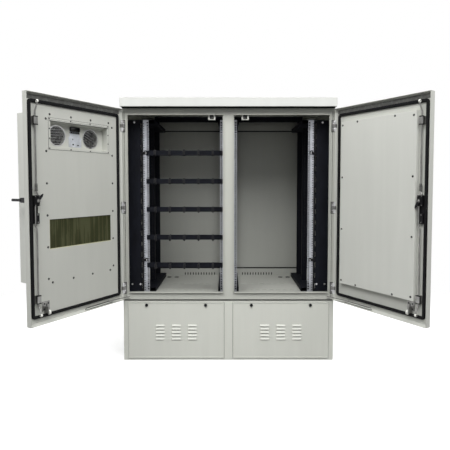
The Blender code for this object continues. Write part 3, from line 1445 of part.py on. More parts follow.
def fan_blade(side, u, z, front, deep, angle):
    """A flat blade set aslant between the hub and the tip."""
    tip = FAN_RADIUS - FAN_TIP_GAP / 2
    thick = 0.0016
    lean = 0.32
    loops = []
    edges = ((front + 0.002, thick, -lean), (deep - 0.002, -thick, lean))
    corners = [(t + step, turn) for t, thickness, turn in edges for step in (0, thickness)]
    for radius in (FAN_HUB_RADIUS * 0.8, tip):
        loop = []
        for t, turn in corners:
            at = angle + turn * FAN_HUB_RADIUS / radius
            loop.append(door_point(side, u + radius * math.cos(at), t, z + radius * math.sin(at)))
        loops.append(loop)
    return loft(loops)


def make_ac_core(side, hinge):
    """The finned heat exchanger behind its window."""
    front = INNER_T + SEAT
    over = CORE_OVERLAP
    low_u, high_u = CORE_U[0] - over, CORE_U[1] + over
    z = (CORE_Z[0] - over, CORE_Z[1] + over)
    shapes = [door_box(side, (low_u, high_u), (front, front + CORE_DEPTH), z)]
    cuts = []
    pitch = (high_u - low_u) / CORE_FINS
    deep, tall = (front - SHEET, front + CORE_FIN_DEPTH), (z[0] + over / 2, z[1] - over / 2)
    for k in range(CORE_FINS):
        start = low_u + k * pitch + CORE_FIN / 2
        cuts.append(door_box(side, (start, start + pitch - CORE_FIN), deep, tall))
    build("ac_core", finish("core_metal", FIN_METAL, 0.5, 0.3), hinge, shapes, cuts)


def make_ac_controller(side, hinge):
    """Display, membrane keypad and a bare rating plate on the tray's back wall."""
    back = RECESS_T - SEAT
    keypad_low = DISPLAY_Z[0] - KEYPAD_HEIGHT
    backing = (back - PLATE_RISE, back)
    shapes = [
        door_box(side, PLATE_U, backing, PLATE_Z),
        door_box(side, DISPLAY_U, backing, (PLATE_Z[0], DISPLAY_Z[1])),
        door_box(side, DISPLAY_U, (back - DISPLAY_RISE, back - SEAT), DISPLAY_Z),
        door_box(side, DISPLAY_U, (back - DISPLAY_RISE / 2, back - SEAT), (keypad_low, DISPLAY_Z[0] + SEAT)),
    ]
    build("ac_controller", finish("controller_black", BLACK, 0.25), hinge, shapes)


def add_screws(side, obj, hinge, places, face_t, title):
    """Pan heads fused to the sheet that they hold."""
    bm = bmesh.new()
    for u, z in places:
        door_bar(side, (u, face_t + SHEET / 2, z), (u, face_t - SCREW_RISE, z), SCREW_RADIUS, 8)(bm)
    boolean(obj, mesh_object(obj.name + "_" + title, bm, hinge), "UNION", title)


def make_inner_box(side, hinge):
    """The folded cover inside the right door."""
    seat = LAND_T - SEAT
    face = seat - BOX_RISE

    def ring(inset, t):
        low, high = BOX_U[0] + inset, BOX_U[1] - inset
        bottom, top = BOX_Z[0] + inset, BOX_Z[1] - inset
        corners = ((low, bottom), (high, bottom), (high, top), (low, top))
        return [door_point(side, u, t, z) for u, z in corners]

    solid = loft([ring(0, seat), ring(BOX_TAPER, face)])
    hollow = loft([ring(SHEET, seat + SHEET), ring(BOX_TAPER + SHEET, face + SHEET)])
    obj = build("right_inner_cover", paint("inner_cover_paint"), hinge, [solid], [hollow])
    middle = sum(BOX_Z) / 2
    levels = (
        BOX_Z[0] + BOX_SCREW_FOOT,
        middle - BOX_SCREW_GAP / 2,
        middle + BOX_SCREW_GAP / 2,
        BOX_Z[1] - BOX_SCREW_HEAD,
    )
    rows = (BOX_Z[0] + BOX_SCREW_ROW_INSETS[0], BOX_Z[1] - BOX_SCREW_ROW_INSETS[1])
    places = [(u, z) for u in BOX_SCREW_U for z in levels]
    places += [(u, z) for u in BOX_SCREW_ROW_U for z in rows]
    add_screws(side, obj, hinge, places, face, "screws")


def make_left_door(hinge):
    side = -1
    door = make_door(side, "left_door", hinge, ac_windows(side))
    low, high = AC_HEIGHTS[0] + AC_SCREW_FOOT, AC_HEIGHTS[1] - AC_SCREW_HEAD
    levels = [low + (high - low) * k / (AC_SCREWS - 1) for k in range(AC_SCREWS)]
    rows = (AC_HEIGHTS[0] + AC_SCREW_ROW_INSET, AC_HEIGHTS[1] - AC_SCREW_ROW_INSET)
    places = [(u, z) for u in AC_SCREW_U for z in levels]
    places += [(u, z) for u in AC_SCREW_ROW_U for z in rows]
    add_screws(side, door, hinge, places, LAND_T, "screws")
    make_ac_housing(side, hinge)
    make_ac_return_panel(side, hinge)
    make_fans(side, hinge)
    make_ac_core(side, hinge)
    make_ac_controller(side, hinge)


def make_right_door(hinge):
    make_door(1, "right_door", hinge, [])
    make_inner_box(1, hinge)


def make_door_gear(side, name, hinge, root):
    make_gasket(side, name, hinge)
    make_lock(side, name, hinge)
    make_cam(side, name, hinge)
    make_handle(side, name, hinge)
    make_lifter(side, name, hinge)
    make_stay(side, name, root)


def settle():
    """Gives each piece its finished mesh: points welded, and flat areas free of needless edges."""
    graph = bpy.context.evaluated_depsgraph_get()
    pieces = [obj for obj in bpy.data.objects if obj.type == "MESH" and not obj.hide_render]
    meshes = [bpy.data.meshes.new_from_object(obj.evaluated_get(graph)) for obj in pieces]
    for obj, mesh in zip(pieces, meshes):
        bm = bmesh.new()
        bm.from_mesh(mesh)
        bmesh.ops.remove_doubles(bm, verts=bm.verts, dist=WELD)
        bmesh.ops.dissolve_degenerate(bm, edges=bm.edges, dist=WELD)
        bmesh.ops.dissolve_limit(bm, angle_limit=FLAT, verts=bm.verts, edges=bm.edges)
        bmesh.ops.triangulate(bm, faces=bm.faces)
        bmesh.ops.remove_doubles(bm, verts=bm.verts, dist=WELD)
        bm.to_mesh(mesh)
        bm.free()
        obj.modifiers.clear()
        obj.data = mesh
        mesh.shade_smooth()
        mesh.set_sharp_from_angle(angle=math.radians(35))
    for obj in list(bpy.data.objects):
        if obj.hide_render:
            bpy.data.objects.remove(obj, do_unlink=True)


def main():
    clear_scene()
    root = empty("cabinet_front_plane", (0.0, FRONT_Y, 0.0))
    make_plinth(root)
    make_body(root)
    make_front_frame(root)
    make_rear_cover(root)
    make_roof(root)
    make_rails(root)
    make_rack_frames(root)
    make_cable_panels(root)
    make_cable_managers(root)
    make_switches(root)
    make_hinges(root)
    for side, name, make in ((-1, "left", make_left_door), (1, "right", make_right_door)):
        hinge = empty(name + "_door_hinge", (side * HINGE_X, -HINGE_OUT, 0.0), root, side * OPEN_ANGLE)
        make(hinge)
        make_door_gear(side, name, hinge, root)
    settle()


main()
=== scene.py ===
import json
import math

import bmesh
import bpy
from mathutils import Matrix, Vector

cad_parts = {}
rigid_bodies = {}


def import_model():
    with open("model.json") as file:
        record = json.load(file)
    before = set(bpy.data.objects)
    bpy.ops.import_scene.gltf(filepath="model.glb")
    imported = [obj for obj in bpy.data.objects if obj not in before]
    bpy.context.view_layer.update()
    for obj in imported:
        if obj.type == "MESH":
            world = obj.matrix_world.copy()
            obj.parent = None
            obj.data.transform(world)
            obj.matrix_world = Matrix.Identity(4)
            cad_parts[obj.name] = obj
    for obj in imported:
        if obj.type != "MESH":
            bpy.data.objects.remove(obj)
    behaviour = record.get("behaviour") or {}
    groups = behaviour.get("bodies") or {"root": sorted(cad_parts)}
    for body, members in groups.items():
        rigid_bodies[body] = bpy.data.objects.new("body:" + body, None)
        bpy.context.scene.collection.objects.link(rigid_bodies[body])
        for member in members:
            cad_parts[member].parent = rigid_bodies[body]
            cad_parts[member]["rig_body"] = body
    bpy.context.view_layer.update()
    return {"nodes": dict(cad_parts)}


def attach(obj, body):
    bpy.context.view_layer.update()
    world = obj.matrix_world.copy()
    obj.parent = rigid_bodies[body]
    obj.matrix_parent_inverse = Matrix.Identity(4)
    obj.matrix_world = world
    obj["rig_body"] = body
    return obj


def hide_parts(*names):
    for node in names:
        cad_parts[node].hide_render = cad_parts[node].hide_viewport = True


# Outdoor two-bay rack cabinet on a plinth, doors open. Metres, Z up, front towards -Y.
# A door's pieces are made in the door's own frame: u from the hinge axis to the free edge,
# t from the rim out to the weather side, z up from the ground.

for leftover in list(bpy.data.objects):
    bpy.data.objects.remove(leftover, do_unlink=True)

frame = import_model()
nodes = frame["nodes"]
bodyOf = {name: node["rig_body"] for name, node in nodes.items()}
sides = {"left": -1, "right": 1}
print("frame loaded:", len(nodes), "nodes")

hinge = {
    "x": 0.6475, "y": -0.3185,
    "rimDepth": 0.0055,  # from the hinge axis in to the door's rim plane
    "openAngle": math.radians(121.5),
    "pin": 0.003, "knuckle": 0.0055, "knuckleGap": 0.011, "leaf": 0.002,
    "screwIn": 0.006, "screwSpread": 0.0165, "screwRadius": 0.004,
}


def doorFrame(way):
    inDoor = Matrix(((-way, 0, 0, 0), (0, -1, 0, hinge["rimDepth"]), (0, 0, 1, 0), (0, 0, 0, 1)))
    turned = Matrix.Rotation(way * hinge["openAngle"], 4, "Z")
    return Matrix.Translation((way * hinge["x"], hinge["y"], 0)) @ turned @ inDoor


upright = Matrix.Identity(4)
home = {"cabinet": upright, **{side: doorFrame(way) for side, way in sides.items()}}


def spanOf(name, where="cabinet"):  # a node's lowest and highest corner, in that frame
    back = home[where].inverted()
    points = [back @ vertex.co for vertex in nodes[name].data.vertices]
    return [Vector(pick(point[i] for point in points) for i in range(3)) for pick in (min, max)]


def addObject(name, data):
    thing = bpy.data.objects.new(name, data)
    bpy.context.scene.collection.objects.link(thing)
    return thing


def toMesh(bm, name):
    mesh = bpy.data.meshes.new(name)
    bm.to_mesh(mesh)
    bm.free()
    return mesh


def setInputs(tree, node, inputs):  # each takes a constant or another node's output
    for key, value in inputs.items():
        if isinstance(value, bpy.types.NodeSocket):
            tree.links.new(value, node.inputs[key])
        else:
            node.inputs[key].default_value = value


def addNode(tree, kind, inputs, **settings):
    node = tree.nodes.new("ShaderNode" + kind)
    for setting, value in settings.items():
        setattr(node, setting, value)
    setInputs(tree, node, inputs)
    return node.outputs


camera = {
    "place": (0.0, -3.0735, 1.0996),
    "pitch": math.radians(90 - 2.78),
    "lens": 36.0,
    "sensor": 36.0,
    "shift": (-0.0077, -0.0431),
    "farthest": 60,
}


def setCamera():
    data = bpy.data.cameras.new("mainCamera")
    data.lens = camera["lens"]
    data.sensor_width = camera["sensor"]
    data.shift_x, data.shift_y = camera["shift"]
    data.clip_end = camera["farthest"]
    eye = addObject("mainCamera", data)
    eye.location = camera["place"]
    eye.rotation_euler = (camera["pitch"], 0.0, 0.0)
    bpy.context.scene.camera = eye


light = {
    "skyStrength": 0.35,
    "skyColour": (0.96, 0.98, 1.0, 1),
    "backdrop": (1, 1, 1, 1),
    "boxes": {  # place, aim, size, power
        "overhead": ((0.0, -3.2, 4.7), (0.0, -0.3, 0.8), 3.2, 160.0),
        "frontLeft": ((-2.3, -3.0, 4.8), (-0.1, 0.0, 0.7), 2.4, 126.0),
        "frontRight": ((2.4, -2.9, 4.6), (0.2, 0.0, 0.7), 2.4, 107.0),
        "behind": ((0.8, 4.2, 1.7), (0.0, 0.3, 0.9), 2.4, 60.0),
        "leftSide": ((-3.7, 1.3, 0.85), (-0.65, 0.0, 0.8), 1.5, 50.0),
        "rightSide": ((3.7, 1.3, 0.85), (0.65, 0.0, 0.8), 1.5, 50.0),
    },
}


def seenByEye(tree):  # 1 for what the camera, a reflection or glass shows
    path = addNode(tree, "LightPath", {})
    seen = path["Is Camera Ray"]
    for ray in ("Is Glossy Ray", "Is Transmission Ray"):
        seen = addNode(tree, "Math", {0: seen, 1: path[ray]}, operation="MAXIMUM")[0]
    return seen


def setLight():
    for name, (place, aim, size, power) in light["boxes"].items():
        data = bpy.data.lights.new(name, "AREA")
        data.shape = "SQUARE"
        data.size = size
        data.energy = power
        lamp = addObject(name, data)
        lamp.location = place
        lamp.rotation_euler = (Vector(aim) - Vector(place)).to_track_quat("-Z", "Y").to_euler()
    world = bpy.data.worlds.new("studio")
    world.use_nodes = True
    tree = world.node_tree
    tree.nodes.clear()
    lit = addNode(tree, "Background", {"Color": light["skyColour"], "Strength": light["skyStrength"]})[0]
    backdrop = addNode(tree, "Background", {"Color": light["backdrop"], "Strength": 1.0})[0]
    mixed = addNode(tree, "MixShader", {0: seenByEye(tree), 1: lit, 2: backdrop})[0]
    addNode(tree, "OutputWorld", {"Surface": mixed})
    bpy.context.scene.world = world
    bpy.context.scene.view_settings.view_transform = "Standard"


ground = {
    "reach": 30.0,
    "drop": 0.0005,
    "seen": (0.8, 0.8, 0.8, 1),
    "bounce": (0.08, 0.08, 0.08, 1),  # what it throws back at the cabinet
    "glow": 0.42,
    "fade": (1.25, 2.6),  # from its shadowed middle out to plain white
    "roughness": 0.9,
    "specular": 0.2,
}


def addFloor():
    bm = bmesh.new()
    bmesh.ops.create_grid(bm, x_segments=1, y_segments=1, size=ground["reach"])
    mesh = toMesh(bm, "floor")
    floor = addObject("floor", mesh)
    floor.location.z = -ground["drop"]
    stuff = bpy.data.materials.new("paleFloor")
    stuff.use_nodes = True
    tree = stuff.node_tree
    seen = seenByEye(tree)
    shades = {"Factor": seen, "A": ground["bounce"], "B": ground["seen"]}
    colour = addNode(tree, "Mix", shades, data_type="RGBA")["Result"]
    shader = tree.nodes["Principled BSDF"]
    dull = {"Roughness": ground["roughness"], "Specular IOR Level": ground["specular"]}
    setInputs(tree, shader, {"Base Color": colour, **dull})
    amount = addNode(tree, "Math", {0: seen, 1: ground["glow"]}, operation="MULTIPLY")[0]
    glow = addNode(tree, "Emission", {"Strength": amount})[0]
    lit = addNode(tree, "AddShader", {0: shader.outputs[0], 1: glow})[0]
    coords = addNode(tree, "TexCoord", {})["Object"]
    away = addNode(tree, "VectorMath", {0: coords}, operation="LENGTH")["Value"]
    near, far = ground["fade"]
    reach = {"Value": away, "From Min": near, "From Max": far}
    fade = addNode(tree, "MapRange", reach, interpolation_type="SMOOTHSTEP")["Result"]
    outside = addNode(tree, "Math", {0: fade, 1: seen}, operation="MULTIPLY")[0]
    white = addNode(tree, "Emission", {"Strength": 1.0})[0]
    mixed = addNode(tree, "MixShader", {0: outside, 1: lit, 2: white})[0]
    setInputs(tree, tree.nodes["Material Output"], {"Surface": mixed})
    mesh.materials.append(stuff)


setCamera()
setLight()
addFloor()
print("stage set")

# Finishes

makeup = {  # a noise is (scale, detail, stretch), a shade (place on the ramp, times the colour)
    "powder": {  # orange peel, slow shade changes, faint runs of dust
        "roughness": 0.42, "spread": (-0.05, 0.08), "noise": (7.0, 5.0, (3.0, 3.0, 0.25)),
        "second": ("MULTIPLY", 2.2, 4.0), "shades": ((0.08, 0.95), (0.45, 1.02)),
        "grain": (900.0, 2.0), "bump": (0.12, 0.0004),
    },
    "black": {  # scuffed
        "roughness": 0.38, "spread": (-0.06, 0.14), "noise": (22.0, 6.0, (1.0, 1.0, 0.4)),
        "shades": ((0.35, 1.0), (0.72, 1.9)), "grain": (1100.0, 2.0), "bump": (0.15, 0.0003),
    },
    "plated": {  # cloudy spangle, drawn lines
        "roughness": 0.34, "spread": (-0.08, 0.14), "metallic": 1.0, "noise": (38.0, 5.0),
        "shades": ((0.3, 0.78), (0.7, 1.15)), "grain": (160.0, 3.0, (1.0, 1.0, 0.05)), "bump": (0.12, 0.0003),
    },
    "moulded": {
        "roughness": 0.5, "spread": (-0.06, 0.1), "noise": (30.0, 4.0),
        "shades": ((0.3, 0.85), (0.7, 1.25)), "grain": (700.0, 2.0), "bump": (0.2, 0.0003),
    },
    "rubber": {  # dusty, with pores
        "roughness": 0.78, "spread": (-0.16, 0.07), "specular": 0.12, "noise": (60.0, 6.0),
        "shades": ((0.45, 1.0), (0.9, 2.2)), "grain": (1600.0, 2.0), "bump": (0.35, 0.0004),
    },
    "fins": {  # coated fins, with painted light and shade as if some were bent into or out of the light
        "roughness": 0.55, "spread": (-0.15, 0.07), "metallic": 0.1, "specular": 0.3,
        "noise": (95.0, 3.0, (1.0, 1.0, 0.012)), "second": ("ADD", 12.0, 3.0, (1.0, 1.0, 0.3)),
        "shades": ((0.55, 1.0), (1.0, 1.0), (1.0, 1.0)),
        "grain": (500.0, 2.0, (1.0, 1.0, 0.2)), "bump": (0.3, 0.0004),
    },
    "glass": {
        "roughness": 0.12, "spread": (-0.04, 0.1), "noise": (80.0, 4.0), "shades": ((0.3, 1.0), (0.8, 1.0)),
    },
}


def addNoise(tree, coords, scale, detail, stretch=None):
    if stretch:
        coords = addNode(tree, "Mapping", {"Vector": coords, "Scale": stretch})["Vector"]
    return addNode(tree, "TexNoise", {"Vector": coords, "Scale": scale, "Detail": detail})["Fac"]


def addRamp(tree, value, stops):
    ramp = tree.nodes.new("ShaderNodeValToRGB")
    tree.links.new(value, ramp.inputs["Fac"])
    points = ramp.color_ramp.elements
    while len(points) < len(stops):
        points.new(0.5)
    for point, (place, colour) in zip(points, stops):
        point.position = place
        point.color = (*colour, 1.0)
    return ramp.outputs["Color"]


def makeMaterial(name, kind, colour, **changes):  # a list of colours gives one for each shade
    look = {"metallic": 0.0, "specular": 0.5, **makeup[kind], **changes}
    rough = look["roughness"]
    stuff = bpy.data.materials.new(name)
    stuff.use_nodes = True
    tree = stuff.node_tree
    shader = tree.nodes["Principled BSDF"]
    plain = {"Roughness": rough, "Metallic": look["metallic"], "Specular IOR Level": look["specular"]}
    setInputs(tree, shader, plain)
    coords = addNode(tree, "TexCoord", {})["Object"]
    noise = dirt = addNoise(tree, coords, *look["noise"])
    if "second" in look:
        operation, *second = look["second"]
        dirt = addNode(tree, "Math", {0: noise, 1: addNoise(tree, coords, *second)}, operation=operation)[0]
    colours = colour if isinstance(colour, list) else [colour] * len(look["shades"])
    stops = []
    for (place, times), base in zip(look["shades"], colours):
        stops.append((place, [min(1.0, channel * times) for channel in base]))
    low, high = (rough + change for change in look["spread"])
    spread = addNode(tree, "MapRange", {"Value": noise, "To Min": low, "To Max": high})["Result"]
    setInputs(tree, shader, {"Base Color": addRamp(tree, dirt, stops), "Roughness": spread})
    if "grain" in look:
        strength, distance = look["bump"]
        grain = addNoise(tree, coords, *look["grain"])
        bump = addNode(tree, "Bump", {"Height": grain, "Strength": strength, "Distance": distance})
        setInputs(tree, shader, {"Normal": bump["Normal"]})
    return stuff


coats = {  # by slot: the material's name, its makeup, its colour and what differs from the makeup
    "body_paint": {
        "body": ("bodyPowderCoat", "powder", (0.575, 0.582, 0.53)),
        "frame": ("framePowderCoat", "powder", (0.487, 0.493, 0.448)),
        # lighter than the body's coat: painted light on the plinth, standing for the light a pale floor
        # throws up
        "plinth": ("plinthPowderCoat", "powder", (0.64, 0.648, 0.59)),
        "door": ("doorPowderCoat", "powder", (0.55, 0.556, 0.512)),
        "housing": ("housingPowderCoat", "powder", (0.625, 0.632, 0.585)),
        "cover": ("innerCoverPowderCoat", "powder", (0.655, 0.662, 0.615)),
        # the body's coat made darker: painted shade on the faces inside the cabinet and on the rear cover's
        # inner side
        "inside": ("insidePowderCoat", "powder", (0.375, 0.38, 0.349)),
        "tray": ("dripTrayCoat", "powder", (0.62, 0.6, 0.38)),
    },
    "roof_paint": {"roof": ("roofPowderCoat", "powder", (0.615, 0.622, 0.595))},
    "dark_paint": {
        "rack": ("rackPowderCoat", "black", (0.0036, 0.0041, 0.0064), dict(roughness=0.55, specular=0.1)),
    },
    "zinc": {
        "zinc": ("zincPlate", "plated", (0.245, 0.243, 0.235)),
        "rail": ("railZincPlate", "plated", (0.37, 0.38, 0.41), dict(roughness=0.46)),
        "screw": ("screwZinc", "plated", (0.66, 0.66, 0.67), dict(roughness=0.3, grain=(160.0, 3.0))),
        "plate": ("satinPlate", "moulded", (0.5, 0.52, 0.56), dict(grain=(500.0, 2.0))),
    },
    "black_plastic": {
        "lever": ("leverEnamel", "black", (0.006, 0.006, 0.007), dict(roughness=0.34, specular=0.25)),
        "black": ("blackPlastic", "moulded", (0.0055, 0.0055, 0.0062), dict(specular=0.18)),
        "key": ("keypadGrey", "moulded", (0.115, 0.125, 0.135), dict(roughness=0.4, grain=(900.0, 2.0))),
        "display": ("displayWindow", "glass", [(0.004, 0.004, 0.005), (0.012, 0.012, 0.013)]),
    },
    "nylon": {"nylon": ("naturalNylon", "moulded", (0.72, 0.72, 0.67), dict(grain=(400.0, 2.0)))},
    "seal_rubber": {
        "rubber": ("sealRubber", "rubber", (0.0055, 0.0055, 0.006)),
        # a dark grey strip on the door's top band: painted shade under the door's top flange
        "topShadeStrip": (
            "greyWeatherStrip", "rubber", (0.105, 0.106, 0.1), dict(grain=(900.0, 2.0), bump=(0.35, 0.0006)),
        ),
        # black foam, also used for strips that paint shadow gaps and shadow lines
        "foam": (
            "foamStrip", "rubber", (0.007, 0.007, 0.0075), dict(grain=(700.0, 2.0), bump=(0.35, 0.0008)),
        ),
    },
    "fin_metal": {
        # dark, middle and bright fin colours: painted shade and light for fins bent out of or into the light
        "fins": (
            "exchangerFins", "fins", [(0.046, 0.05, 0.022), (0.078, 0.083, 0.036), (0.13, 0.135, 0.068)],
        ),
    },
}
finish, slotOf = {}, {}
for slot, group in coats.items():
    for title, (name, kind, colour, *changes) in group.items():
        finish[title] = makeMaterial(name, kind, colour, **(changes[0] if changes else {}))
        slotOf[title] = slot
print("finishes made:", len(finish))

# Shape tools

small = 2e-6  # points nearer than this are one
inward = (0, -1, 0)  # towards the viewer on the cabinet, into it on a door
outward = (0, 1, 0)


def bevelEdges(bm, edges, width, segments=1):
    if width > 0 and edges:
        bmesh.ops.bevel(
            bm, geom=edges, offset=width, offset_type="OFFSET", segments=segments, profile=0.5,
            affect="EDGES", clamp_overlap=True, material=-1,
        )


def edgesOf(verts):
    return list({edge for vert in verts for edge in vert.link_edges})


def edgesAlong(bm, axis):
    return [edge for edge in bm.edges if abs((edge.verts[1].co - edge.verts[0].co)[axis]) > small]


def setFinish(verts, index):
    for face in {face for vert in verts for face in vert.link_faces}:
        face.material_index = index


def joinPart(bm, part, index=0, place=upright):
    for face in part.faces:
        face.material_index = index
    part.transform(place)
    if place.determinant() < 0:
        bmesh.ops.reverse_faces(part, faces=part.faces)
    carrier = toMesh(part, "carrier")
    bm.from_mesh(carrier)
    bpy.data.meshes.remove(carrier)


def stamp(bm, mesh, place, index=0):
    part = bmesh.new()
    part.from_mesh(mesh)
    joinPart(bm, part, index, place)


def addBlock(bm, low, high, soft=0.0, segments=1, index=0):
    size = [far - near for near, far in zip(low, high)]
    middle = [(near + far) / 2 for near, far in zip(low, high)]
    spot = Matrix.Translation(middle) @ Matrix.Diagonal((*size, 1.0))
    verts = bmesh.ops.create_cube(bm, size=1.0, matrix=spot)["verts"]
    setFinish(verts, index)
    bevelEdges(bm, edgesOf(verts), soft, segments)


def addPad(bm, low, high, corner, soft=0.0, index=0, axis=1):  # a block with round corners about an axis
    part = bmesh.new()
    addBlock(part, low, high)
    bevelEdges(part, edgesAlong(part, axis), corner, 5)
    part.normal_update()
    rims = [edge for edge in part.edges if sum(abs(face.normal[axis]) > 0.9 for face in edge.link_faces) == 1]
    bevelEdges(part, rims, soft, 2)
    joinPart(bm, part, index)


def mirrored(way, low, high):  # a box's corners given for the right side, on either side
    ends = sorted((way * low[0], way * high[0]))
    return (ends[0], *low[1:]), (ends[1], *high[1:])


def boxAt(x, z, wide, tall, near, far):  # corners of an upright box round (x, z)
    return (x - wide / 2, near, z - tall / 2), (x + wide / 2, far, z + tall / 2)


def addBorder(bm, low, high, near, far, wide, *edge):  # four strips laid round an upright rectangle
    (left, bottom), (right, top) = low, high
    for z in (bottom - wide, top):
        addBlock(bm, (left - wide, near, z), (right + wide, far, z + wide), *edge)
    for x in (left - wide, right):
        addBlock(bm, (x, near, bottom), (x + wide, far, top), *edge)


def addRod(bm, start, end, radius, sideCount=20, soft=0.0, index=0):
    start, end = Vector(start), Vector(end)
    along = end - start
    spot = Matrix.Translation((start + end) / 2) @ along.to_track_quat("Z", "Y").to_matrix().to_4x4()
    verts = bmesh.ops.create_cone(
        bm, cap_ends=True, segments=sideCount, radius1=radius, radius2=radius, depth=along.length, matrix=spot
    )["verts"]
    setFinish(verts, index)
    rims = [edge for edge in edgesOf(verts) if any(len(face.verts) > 4 for face in edge.link_faces)]
    bevelEdges(bm, rims, soft, 2)


def addTurned(bm, profile, place, steps=28, ring=False, index=0):  # profile of (radius, height)
    part = bmesh.new()
    verts = [part.verts.new((radius, 0, height)) for radius, height in profile]
    edges = [part.edges.new(pair) for pair in zip(verts, verts[1:])]
    if ring:
        edges.append(part.edges.new((verts[-1], verts[0])))
    bmesh.ops.spin(
        part, geom=verts + edges, cent=(0, 0, 0), axis=(0, 0, 1), angle=2 * math.pi, steps=steps,
        use_merge=True,
    )
    bmesh.ops.remove_doubles(part, verts=part.verts, dist=small)
    bmesh.ops.recalc_face_normals(part, faces=part.faces)
    joinPart(bm, part, index, place)


def section(outer, start, end, inner=0):  # a disc's or a ring's profile
    return [(inner, start), (outer, start), (outer, end), (inner, end)]


def symmetrical(profile):  # a profile's upper half, given with its mirror image
    return [(radius, -height) for radius, height in profile] + profile[::-1]


def facing(direction, centre):  # a frame at centre whose Z points along direction
    return Matrix.Translation(centre) @ Vector(direction).to_track_quat("Z", "Y").to_matrix().to_4x4()


def addBentRod(bm, points, radius, bend, steps=5):  # a wire with round corners
    points = [Vector(point) for point in points]
    path = [points[0]]
    for before, corner, after in zip(points, points[1:], points[2:]):
        start = corner + (before - corner).normalized() * bend
        end = corner + (after - corner).normalized() * bend
        for k in range(steps + 1):
            share = k / steps
            path.append(start.lerp(corner, share).lerp(corner.lerp(end, share), share))
    path.append(points[-1])
    data = bpy.data.curves.new("bentRod", "CURVE")
    data.dimensions = "3D"
    data.bevel_depth = radius
    data.bevel_resolution = 4
    data.use_fill_caps = True
    spline = data.splines.new("POLY")
    spline.points.add(len(path) - 1)
    for knot, point in zip(spline.points, path):
        knot.co = (*point, 1.0)
    wire = addObject("bentRod", data)
    mesh = bpy.data.meshes.new_from_object(wire)
    stamp(bm, mesh, upright)
    bpy.data.objects.remove(wire, do_unlink=True)
    bpy.data.meshes.remove(mesh)


def addPiece(
    name, bm, titles, where="cabinet", replaced=None, body=None, smooth=32, weighted=False, flatOver=None
):
    place = home[where]
    bm.transform(place)
    if place.determinant() < 0:
        bmesh.ops.reverse_faces(bm, faces=bm.faces)
    mesh = toMesh(bm, name)
    for title in titles:
        mesh.materials.append(finish[title])
    mesh.shade_smooth()
    mesh.set_sharp_from_angle(angle=math.radians(smooth))
    for polygon in mesh.polygons:
        if flatOver and polygon.area > flatOver:
            polygon.use_smooth = False
    piece = addObject(name, mesh)
    if weighted:
        piece.modifiers.new("evenShading", "WEIGHTED_NORMAL").keep_sharp = True
    shell = where if where == "cabinet" else where + "_door_leaf"
    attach(piece, body or bodyOf.get(replaced, shell))
    if replaced:
        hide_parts(replaced)


def mergedCopy(name):
    bm = bmesh.new()
    bm.from_mesh(nodes[name].data)
    bmesh.ops.remove_doubles(bm, verts=bm.verts, dist=small)
    bmesh.ops.dissolve_limit(bm, angle_limit=math.radians(0.3), verts=bm.verts, edges=bm.edges)
    return bm


flatArea = 2.5e-5  # faces over this size are shaded flat


def dress(
    name, titles, soft, segments=1, finishOf=None, broad=math.inf, where="cabinet", minAngle=40, smooth=20
):  # faces longer than broad keep the first finish
    bm = mergedCopy(name)
    back = home[where].inverted()
    for face in (bm.faces if finishOf else ()):
        longest = max(edge.calc_length() for edge in face.edges)
        within = longest < broad
        face.material_index = finishOf(back @ face.calc_center_median()) if within else 0
    wanted = math.radians(minAngle)
    bevelEdges(bm, [edge for edge in bm.edges if edge.calc_face_angle(0) > wanted], soft, segments)
    bmesh.ops.triangulate(bm, faces=bm.faces)
    rounded = segments > 1
    flatOver = None if rounded else flatArea
    addPiece(name + "_made", bm, titles, replaced=name, smooth=smooth, weighted=rounded, flatOver=flatOver)


def keep(name, title):  # the solid is right as it is and takes a finish
    node = nodes[name]
    node.data.materials.clear()
    node.data.materials.append(finish[title])


screwHead = {
    "sides": 12, "start": math.radians(15), "rise": 0.44,
    "dome": ((1.0, 0.5), (0.87, 0.87), (0.66, 1.0)),  # radius, share of the rise
    "crossTip": 0.5, "crossWaist": 0.17, "crossFloor": 0.12,
}


def makeScrewHead():  # pan head of radius 1 with a cross recess, standing on z 0
    bm = bmesh.new()
    turned = Matrix.Rotation(screwHead["start"], 4, "Z")
    bmesh.ops.create_circle(bm, segments=screwHead["sides"], radius=1.0, matrix=turned)
    base = edges = bm.edges[:]
    levels = [(radius, radius, screwHead["rise"] * share) for radius, share in screwHead["dome"]]
    for height in (screwHead["rise"], screwHead["crossFloor"]):
        levels.append((screwHead["crossTip"], screwHead["crossWaist"], height))
    for tip, waist, height in levels:
        made = bmesh.ops.extrude_edge_only(bm, edges=edges)["geom"]
        ring = [item for item in made if isinstance(item, bmesh.types.BMVert)]
        edges = [item for item in made if isinstance(item, bmesh.types.BMEdge)]
        edges = [edge for edge in edges if set(edge.verts) <= set(ring)]
        for vert in ring:
            angle = math.degrees(math.atan2(vert.co.y, vert.co.x))
            radius = waist if abs(angle % 90 - 45) < 5 else tip
            vert.co = Vector((*(vert.co.xy.normalized() * radius), height))
    bmesh.ops.edgeloop_fill(bm, edges=edges)
    bmesh.ops.edgeloop_fill(bm, edges=base)
    bmesh.ops.recalc_face_normals(bm, faces=bm.faces)
    return toMesh(bm, "screwHead")


screwMesh = makeScrewHead()


def addScrew(bm, centre, radius, twist=0.0, index=0, direction=inward):
    spot = facing(direction, centre) @ Matrix.Rotation(twist, 4, "Z") @ Matrix.Scale(radius, 4)
    stamp(bm, screwMesh, spot, index)


# Cabinet

shell = {
    "wall": 0.003, "rebate": 0.001,
    "bodyEdge": 0.0008, "frameEdge": 0.0007, "roofEdge": 0.002, "rearEdge": 0.001, "plinthEdge": 0.0009,
}


